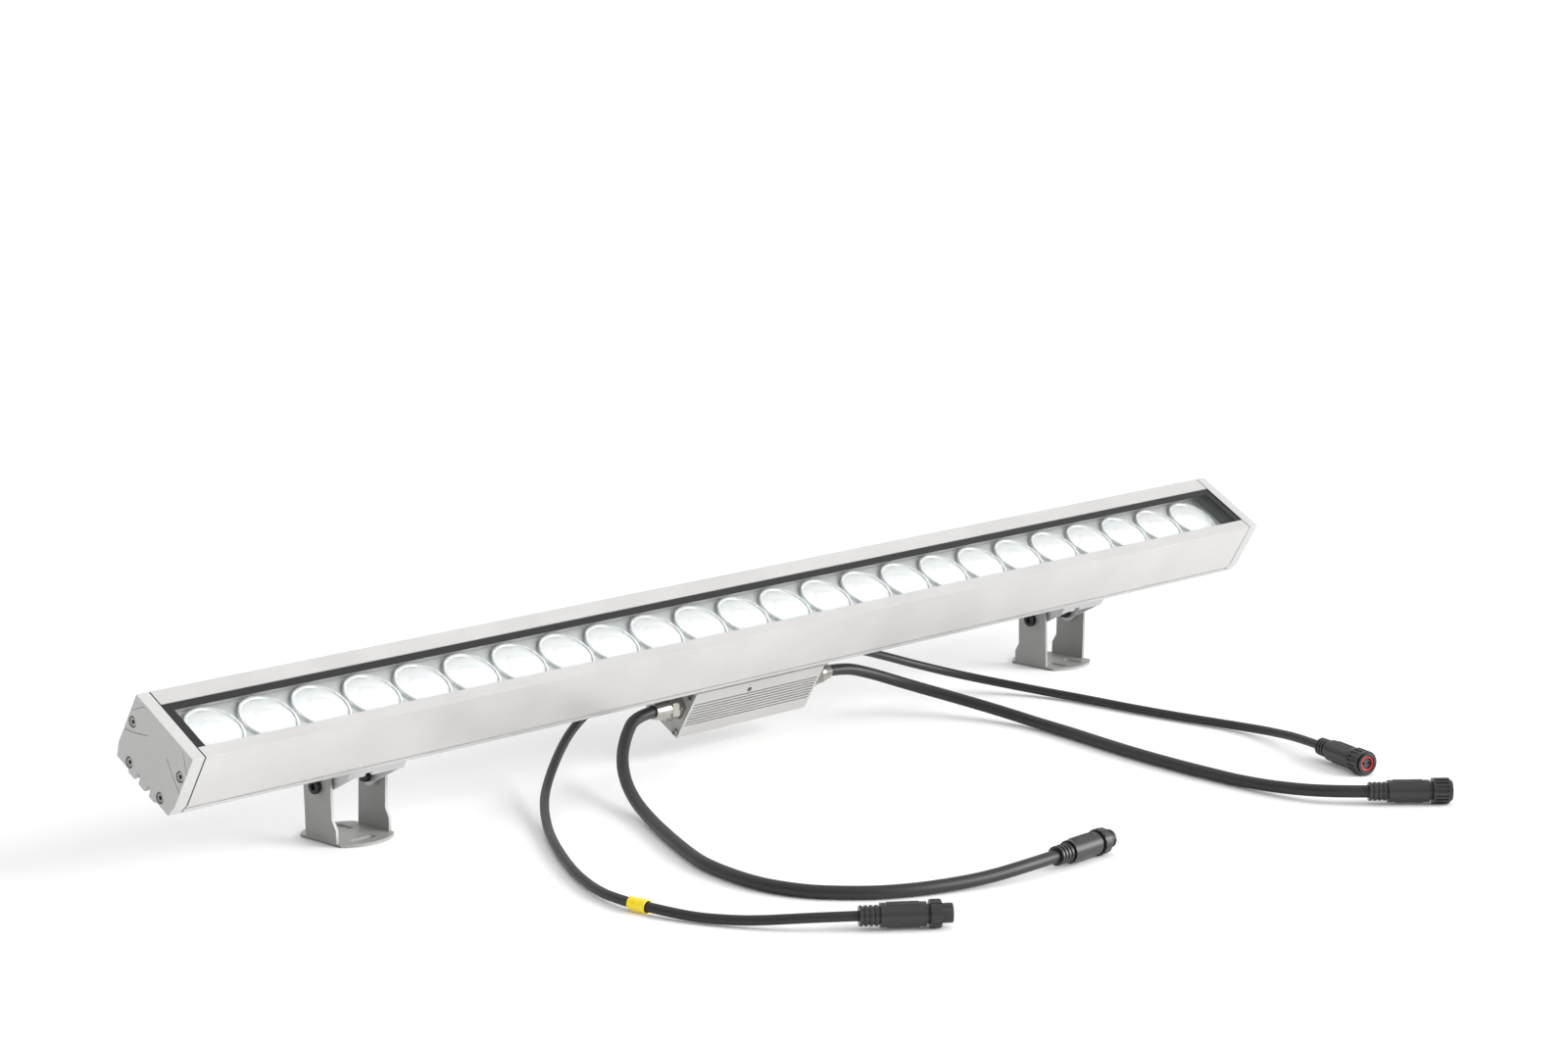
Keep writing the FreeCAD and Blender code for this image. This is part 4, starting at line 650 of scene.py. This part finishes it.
class ReliefTree:
    """The three trees that raise ribs on a connector: in a row, round a ring, and as a thread."""

    def __init__(self) -> None:
        """Build the trees."""
        self.row, self.row_keys = self.make_row()
        self.ring, self.ring_keys = self.make_ring()
        self.thread, self.thread_keys = self.make_thread()

    def make_row(self) -> tuple[bpy.types.NodeTree, dict[str, str]]:
        """Build the tree of straight ribs side by side and return it with its inputs' identifiers."""
        tree = bpy.data.node_groups.new("rib_row", "GeometryNodeTree")
        keys = sockets(tree, {"Finish": "Material", "Count": "Int", "Start": "Vector", "Step": "Vector",
                              "Size": "Vector"})
        given = node(tree, "NodeGroupInput").outputs
        line = node(tree, "GeometryNodeMeshLine",
                    {"Count": given["Count"], "Start Location": given["Start"], "Offset": given["Step"]})
        rib = node(tree, "GeometryNodeMeshCube", {"Size": given["Size"]})
        ribs = node(tree, "GeometryNodeInstanceOnPoints",
                    {"Points": line.outputs[0], "Instance": rib.outputs[0]})
        close(tree, ribs.outputs[0], given["Finish"])
        return tree, keys

    def make_ring(self) -> tuple[bpy.types.NodeTree, dict[str, str]]:
        """Build the tree of ribs round the connector's axis and return it with its inputs' identifiers."""
        tree = bpy.data.node_groups.new("rib_ring", "GeometryNodeTree")
        keys = sockets(tree, {"Finish": "Material", "Count": "Int", "Along": "Float", "Radius": "Float",
                              "Size": "Vector"})
        given = node(tree, "NodeGroupInput").outputs
        line = node(tree, "GeometryNodeMeshLine", {"Count": given["Count"]})
        order = node(tree, "GeometryNodeInputIndex")
        share = node(tree, "ShaderNodeMath", {0: order.outputs[0], 1: given["Count"]}, operation="DIVIDE")
        angle = node(tree, "ShaderNodeMath", {0: share.outputs[0], 1: 2 * math.pi}, operation="MULTIPLY")
        out = node(tree, "ShaderNodeCombineXYZ", {"X": given["Along"], "Z": given["Radius"]})
        spin = node(tree, "ShaderNodeVectorRotate", {"Vector": out.outputs[0], "Angle": angle.outputs[0]},
                    rotation_type="X_AXIS")
        placed = node(tree, "GeometryNodeSetPosition",
                      {"Geometry": line.outputs[0], "Position": spin.outputs[0]})
        about = node(tree, "ShaderNodeCombineXYZ", {"X": angle.outputs[0]})
        turn = node(tree, "FunctionNodeEulerToRotation", {0: about.outputs[0]})
        rib = node(tree, "GeometryNodeMeshCube", {"Size": given["Size"]})
        ribs = node(tree, "GeometryNodeInstanceOnPoints",
                    {"Points": placed.outputs[0], "Instance": rib.outputs[0], "Rotation": turn.outputs[0]})
        close(tree, ribs.outputs[0], given["Finish"])
        return tree, keys

    def make_thread(self) -> tuple[bpy.types.NodeTree, dict[str, str]]:
        """Build the tree of thread crests and return it with its inputs' identifiers."""
        tree = bpy.data.node_groups.new("thread_crests", "GeometryNodeTree")
        keys = sockets(tree, {"Finish": "Material", "Count": "Int", "Start": "Float", "Pitch": "Float",
                              "Radius": "Float", "Crest": "Float"})
        given = node(tree, "NodeGroupInput").outputs
        start = node(tree, "ShaderNodeCombineXYZ", {"X": given["Start"]})
        step = node(tree, "ShaderNodeCombineXYZ", {"X": given["Pitch"]})
        line = node(tree, "GeometryNodeMeshLine",
                    {"Count": given["Count"], "Start Location": start.outputs[0],
                     "Offset": step.outputs[0]})
        path = node(tree, "GeometryNodeCurvePrimitiveCircle",
                    {"Resolution": THREAD_SIDES, "Radius": given["Radius"]})
        crest = node(tree, "GeometryNodeCurvePrimitiveCircle",
                     {"Resolution": CREST_SIDES, "Radius": given["Crest"]})
        ring = node(tree, "GeometryNodeCurveToMesh",
                    {"Curve": path.outputs[0], "Profile Curve": crest.outputs[0]})
        about = node(tree, "ShaderNodeCombineXYZ", {"Y": math.pi / 2})
        turn = node(tree, "FunctionNodeEulerToRotation", {0: about.outputs[0]})
        rings = node(tree, "GeometryNodeInstanceOnPoints",
                     {"Points": line.outputs[0], "Instance": ring.outputs[0], "Rotation": turn.outputs[0]})
        close(tree, rings.outputs[0], given["Finish"])
        return tree, keys


@dataclass(frozen=True)
class ConnectorRelief:
    """The raised ribs of one connector, in millimetres along its axis from its tail."""

    letter: str
    tail_mm: tuple[float, float]
    heading_deg: float
    plug: bool
    axis_height_mm: float = 8.4
    flat_mm: float = 6.6
    grip_middle_mm: float = 25.25
    grip_rib_mm: tuple[float, float, float] = (18.6, 0.6, 0.7)
    grip_pitch_mm: float = 1.3
    grip_ribs: int = 5
    collar_middle_mm: float = 43.5
    collar_radius_mm: float = 8.0
    collar_rib_mm: tuple[float, float, float] = (5.6, 1.3, 0.5)
    collar_ribs: int = 14
    thread_start_mm: float = 47.9
    thread_pitch_mm: float = 1.1
    thread_radius_mm: float = 5.65
    crest_mm: float = 0.3
    crests: int = 5

    def build(self, trees: ReliefTree) -> bpy.types.Object:
        """Raise the ribs on both flats of the grip and, on a plug, its collar and thread.

        Args:
            trees: The trees that make ribs.

        Returns:
            The piece, which rides on the root.
        """
        finish = BLACK_NYLON.make()
        first_mm = -(self.grip_ribs - 1) / 2 * self.grip_pitch_mm
        meshes = [grown(trees.row, trees.row_keys, {
            "Finish": finish, "Count": self.grip_ribs,
            "Start": (self.grip_middle_mm * MM, first_mm * MM, side * self.flat_mm * MM),
            "Step": (0.0, self.grip_pitch_mm * MM, 0.0),
            "Size": [part * MM for part in self.grip_rib_mm]}) for side in (-1, 1)]
        if self.plug:
            meshes.append(grown(trees.ring, trees.ring_keys, {
                "Finish": finish, "Count": self.collar_ribs, "Along": self.collar_middle_mm * MM,
                "Radius": self.collar_radius_mm * MM, "Size": [part * MM for part in self.collar_rib_mm]}))
            meshes.append(grown(trees.thread, trees.thread_keys, {
                "Finish": finish, "Count": self.crests, "Start": self.thread_start_mm * MM,
                "Pitch": self.thread_pitch_mm * MM, "Radius": self.thread_radius_mm * MM,
                "Crest": self.crest_mm * MM}))
        piece = joined(f"connector_{self.letter}_ribs", meshes, BLACK_NYLON)
        tail = (self.tail_mm[0] * MM, self.tail_mm[1] * MM, self.axis_height_mm * MM)
        heading = Matrix.Rotation(math.radians(self.heading_deg), 4, "Z")
        piece.data.transform(Matrix.Translation(tail) @ heading)
        return settle(piece, "root", "connector_plastic")


RELIEFS = {
    "a": ConnectorRelief("a", (-90.5, -344.8), 2.83, True),
    "b": ConnectorRelief("b", (-264.1, -345.3), -38.98, True),
    "c": ConnectorRelief("c", (164.4, -389.5), -43.78, False),
    "d": ConnectorRelief("d", (240.6, -297.8), -110.1, False),
}


LEADS = (
    Lead("a", "power_cord_left", 8.0, 532.8, -84.3, (
        (-76.3, 5.16, 38.0), (-99.3, 5.16, 38.0), (-120, -7, 30.5), (-140.5, -24, 21),
        (-157, -45, 12.5), (-171.5, -69, 7), (-186, -95.5, 4.6), (-206, -131.5, 4.3),
        (-227, -172, 4.3), (-239, -200.5, 4.3), (-246, -246, 4.3), (-240, -273, 4.3),
        (-232, -288.5, 4.3), (-215, -307.5, 4.3), (-202.5, -316.5, 4.3), (-183, -326.5, 4.3),
        (-149.5, -338.5, 5.2), (-115.47, -346.03, 8.4), (-86.50, -344.60, 8.4))),
    Lead("b", "data_cord_left", 6.0, 531.9, -84.3, (
        (-76.3, 24.14, 49.13), (-99.3, 24.14, 49.13), (-124, 22.7, 43), (-146.5, 17, 34),
        (-166, 7.5, 24.5), (-188, -7, 15), (-211, -26.5, 8), (-241.5, -62, 3.9), (-267, -97, 3.4),
        (-287, -127.5, 3.4), (-304, -156, 3.5), (-320.5, -191.5, 3.8), (-326, -220, 4.7),
        (-324.5, -241.5, 4.6), (-319, -265, 3.6), (-313.5, -279, 3.6), (-303, -300.5, 4.6),
        (-283.53, -329.57, 8.4), (-260.99, -347.82, 8.4)),
        ("cable_tag",)),
    Lead("c", "power_cord_right", 8.0, 472.0, 83.3, (
        (75.3, 5.16, 38.0), (98.3, 5.16, 38.0), (119, -1, 32), (144, -16, 21.5), (165, -44, 12.5),
        (174, -81, 6.7), (174, -108, 4.3), (168, -142, 4.3), (160.5, -173.5, 4.3),
        (152.5, -212.5, 4.3), (146.5, -254.5, 4.3), (144, -285, 4.3), (142.5, -304, 4.3),
        (142.5, -335, 5.4), (146.35, -372.20, 8.4), (167.29, -392.27, 8.4)),
        ("union_nut_c",)),
    Lead("d", "data_cord_right", 6.0, 471.9, 83.3, (
        (75.3, 24.14, 49.13), (98.3, 24.14, 49.13), (115, 24.6, 46.5), (137.5, 25.4, 41),
        (163.5, 24.6, 32.5), (190, 18.5, 23), (218, 3, 13.5), (240, -22, 7), (251.5, -52, 3.9),
        (254.4, -71.5, 3.4), (255.4, -92.5, 3.4), (256, -127.5, 3.4), (259, -164.5, 3.4),
        (263, -197.5, 3.5), (263.5, -217, 4), (260.5, -241, 5.5), (249.19, -274.32, 8.4),
        (239.23, -301.56, 8.4)),
        ("union_nut_d",)),
)


@dataclass(frozen=True)
class LensRow:
    """The twenty-four round lenses, in four moulded strips, in the lamp's own frame."""

    strips: int = 4
    lenses_in_strip: int = 6
    pitch_mm: float = 40.0
    face_radius_mm: float = 18.9
    face_n_mm: float = -9.5
    disc_mm: float = 2.5
    rim_mm: float = 1.6
    dish_mm: float = 0.9
    dome_mm: float = 0.55
    dome_share: float = 0.97
    ring_radius_mm: float = 6.0
    ring_width_mm: float = 0.7
    ring_depth_mm: float = 0.06
    lip_mm: tuple[tuple[float, float], ...] = ((0.12, -0.1), (0.35, 0.0))
    neck_radius_mm: float = 17.8
    foot_radius_mm: float = 7.2
    foot_n_mm: float = -24.1
    bulge_mm: float = 1.6
    round_mm: float = 0.45
    rib_mm: tuple[float, float, float] = (0.9, 0.5, 0.3)
    ribs: int = 60
    sides: int = 64
    face_steps: int = 12
    round_steps: int = 3
    side_steps: int = 6

    def profile(self) -> list[tuple[float, float]]:
        """Give the lens's outline from the middle of its face round to the middle of its foot."""
        inner = self.face_radius_mm - self.rim_mm
        floor = self.face_n_mm - self.dish_mm
        points = []
        for step in range(self.face_steps + 1):
            radius = inner * self.dome_share * step / self.face_steps
            dome = self.dome_mm * math.cos(math.pi / 2 * radius / inner)
            off_ring = (radius - self.ring_radius_mm) / self.ring_width_mm
            groove = self.ring_depth_mm * math.exp(-(off_ring ** 2))
            points.append((radius, floor + dome - groove))
        points.append((inner, floor + self.round_mm))
        points += [(inner + out, self.face_n_mm + up) for out, up in self.lip_mm]
        for step in range(self.round_steps + 1):
            turn = math.pi / 2 * step / self.round_steps
            points.append((self.face_radius_mm - self.round_mm * (1 - math.sin(turn)),
                           self.face_n_mm - self.round_mm * (1 - math.cos(turn))))
        base = self.face_n_mm - self.disc_mm
        points += [(self.face_radius_mm, base), (self.neck_radius_mm, base)]
        for step in range(1, self.side_steps + 1):
            part = step / self.side_steps
            bulge = self.bulge_mm * math.sin(math.pi * part)
            points.append((self.neck_radius_mm + (self.foot_radius_mm - self.neck_radius_mm) * part + bulge,
                           base + (self.foot_n_mm - base) * part))
        points.append((0.0, self.foot_n_mm))
        return [(radius * MM, height * MM) for radius, height in points]

    def tree(self) -> tuple[bpy.types.NodeTree, dict[str, str]]:
        """Build the tree that sets lenses with ribbed rims in a line.

        Returns:
            The tree, and each input's identifier by its name.
        """
        tree = bpy.data.node_groups.new("lens_line", "GeometryNodeTree")
        keys = sockets(tree, {"Lens": "Object", "Finish": "Material", "Count": "Int", "First": "Float",
                              "Pitch": "Float", "Ribs": "Int", "Rib Radius": "Float", "Rib Height": "Float",
                              "Rib Size": "Vector"})
        given = node(tree, "NodeGroupInput").outputs
        start = node(tree, "ShaderNodeCombineXYZ", {"X": given["First"]})
        step = node(tree, "ShaderNodeCombineXYZ", {"X": given["Pitch"]})
        line = node(tree, "GeometryNodeMeshLine",
                    {"Count": given["Count"], "Start Location": start.outputs[0],
                     "Offset": step.outputs[0]})
        lens = node(tree, "GeometryNodeObjectInfo", {"Object": given["Lens"]})
        ring = node(tree, "GeometryNodeMeshCircle",
                    {"Vertices": given["Ribs"], "Radius": given["Rib Radius"]})
        rib = node(tree, "GeometryNodeMeshCube", {"Size": given["Rib Size"]})
        order = node(tree, "GeometryNodeInputIndex")
        share = node(tree, "ShaderNodeMath", {0: order.outputs[0], 1: given["Ribs"]}, operation="DIVIDE")
        angle = node(tree, "ShaderNodeMath", {0: share.outputs[0], 1: 2 * math.pi}, operation="MULTIPLY")
        about = node(tree, "ShaderNodeCombineXYZ", {"Z": angle.outputs[0]})
        turn = node(tree, "FunctionNodeEulerToRotation", {0: about.outputs[0]})
        ribs = node(tree, "GeometryNodeInstanceOnPoints",
                    {"Points": ring.outputs[0], "Instance": rib.outputs[0], "Rotation": turn.outputs[0]})
        lift = node(tree, "ShaderNodeCombineXYZ", {"Z": given["Rib Height"]})
        raised = node(tree, "GeometryNodeTransform",
                      {"Geometry": ribs.outputs[0], "Translation": lift.outputs[0]})
        whole = node(tree, "GeometryNodeJoinGeometry", {0: [lens.outputs["Geometry"], raised.outputs[0]]})
        row = node(tree, "GeometryNodeInstanceOnPoints",
                   {"Points": line.outputs[0], "Instance": whole.outputs[0]})
        close(tree, row.outputs[0], given["Finish"])
        return tree, keys

    def build(self) -> None:
        """Make each strip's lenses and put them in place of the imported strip."""
        scene = bpy.context.scene
        form = turned("single_lens", self.profile(), self.sides, LENS.face_mm * MM)
        lens = bpy.data.objects.new("single_lens", form)
        scene.collection.objects.link(lens)
        tree, keys = self.tree()
        total = self.strips * self.lenses_in_strip
        for strip in range(self.strips):
            first = (strip * self.lenses_in_strip - (total - 1) / 2) * self.pitch_mm * MM
            mesh = grown(tree, keys, {
                "Lens": lens, "Finish": LENS.make(), "Count": self.lenses_in_strip, "First": first,
                "Pitch": self.pitch_mm * MM, "Ribs": self.ribs,
                "Rib Radius": (self.face_radius_mm - self.rim_mm / 2) * MM,
                "Rib Height": self.face_n_mm * MM, "Rib Size": [part * MM for part in self.rib_mm]})
            mesh.transform(LAMP_PLACE)
            name = f"lenses_{strip + 1}"
            mesh.name = name
            piece = bpy.data.objects.new(name, mesh)
            scene.collection.objects.link(piece)
            settle(piece, "root", "lens_plastic", f"lens_strip_{strip + 1}")
        bpy.data.objects.remove(lens)


@dataclass(frozen=True)
class Lamp:
    """The extruded housing with its caps, gaskets, glass and light engine."""

    edge_mm: float = 0.25
    cap_edge_mm: float = 0.45

    def build(self) -> None:
        """Dress the housing and all that it holds."""
        eased("housing", "anodised_aluminium", ANODISED, self.edge_mm)
        for side in ("left", "right"):
            eased(f"end_cap_{side}", "cast_cap", CAST_PAINT, self.cap_edge_mm)
            eased(f"end_gasket_{side}", "black_rubber", SEAL_RUBBER, 0.0)
        eased("end_screws", "screw_steel", STAINLESS, EASE_SCREW)
        eased("glass_seal", "black_rubber", SEAL_RUBBER, 0.0)
        eased("cover_glass", "clear_glass", COVER_GLASS, 0.0)
        eased("lens_tray", "tray_grey", TRAY_PLASTIC, EASE_SMALL)
        kept("led_board", WHITE_MASK)
        kept("led_chips", PHOSPHOR)
        kept("board_screws", STAINLESS)
        kept("lead_wire", LEAD_SILICONE)
        kept("lead_conduit", SEAL_RUBBER)
        LensRow().build()


@dataclass(frozen=True)
class Driver:
    """The finned driver case under the lamp, with its plates, screws and glands."""

    edge_mm: float = 0.2
    side_screw_mm: tuple[float, float, float] = (-9.0, 21.9, -58.6)
    side_head_mm: float = 1.7
    side_head_shape: tuple[tuple[float, float], ...] = (
        (0.0, -0.2), (0.5, -0.2), (0.55, 0.35), (0.85, 0.3), (1.0, 0.1), (1.0, -0.6), (0.0, -0.6))
    side_head_sides: int = 24

    def side_screws(self) -> None:
        """Set a small socket screw in the upper band of each long side."""
        x, u, n = [part * MM for part in self.side_screw_mm]
        head = self.side_head_mm * MM
        profile = [(radius * head, height * head) for radius, height in self.side_head_shape]
        meshes = []
        for side in (-1, 1):
            mesh = turned("side_screw", profile, self.side_head_sides, head)
            outward = Matrix.Rotation(-side * math.pi / 2, 4, "X")
            mesh.transform(LAMP_PLACE @ Matrix.Translation((x, side * u, n)) @ outward)
            meshes.append(mesh)
        settle(joined("driver_side_screws", meshes, DARK_STEEL), "root", "screw_steel")

    def build(self) -> None:
        """Dress the case, its glands and the parts inside."""
        eased("driver_case", "anodised_aluminium", FINNED, self.edge_mm)
        for side in ("left", "right"):
            eased(f"driver_plate_{side}", "cast_cap", SHADED_PLATE_PAINT, self.edge_mm)
        eased("driver_screws", "bright_steel", STAINLESS, EASE_SCREW)
        eased("driver_clamps", "slider_metal", MILL_ALUMINIUM, self.edge_mm)
        eased("driver_clamp_screws", "screw_steel", DARK_STEEL, EASE_SCREW)
        for letter in "abcd":
            eased(f"gland_body_{letter}", "nickel", NICKEL, EASE_PART)
            eased(f"gland_nut_{letter}", "nickel", NICKEL, EASE_BODY)
        self.side_screws()
        kept("driver_board", GREEN_MASK)
        kept("driver_capacitors", CAN_SLEEVE)
        kept("driver_inductor", COIL_TAPE)
        kept("driver_transformer", COIL_TAPE)


@dataclass(frozen=True)
class Mounting:
    """One foot: the slider in the housing's groove, its screws, the bent bracket and the pivot bolts."""

    side: str
    edge_mm: float = 0.3

    def build(self) -> None:
        """Dress the foot's pieces."""
        eased(f"bracket_{self.side}", "bracket_coat", BRACKET_PAINT, self.edge_mm)
        eased(f"slider_{self.side}", "slider_metal", MILL_ALUMINIUM, self.edge_mm)
        eased(f"slider_screws_{self.side}", "screw_steel", DARK_STEEL, EASE_SCREW)
        eased(f"pivot_bolts_{self.side}", "screw_steel", DARK_STEEL, EASE_SMALL)


def main() -> None:
    """Build the whole scene in order."""
    logging.basicConfig(level=logging.INFO, format="%(name)s: %(message)s")
    Studio().build()
    trees = ReliefTree()
    for lead in LEADS:
        lead.build(trees)
    eased("socket_seals", "seal_red", RED_SILICONE, EASE_FINE)
    Lamp().build()
    Driver().build()
    for side in ("left", "right"):
        Mounting(side).build()


if __name__ == "__main__":
    main()
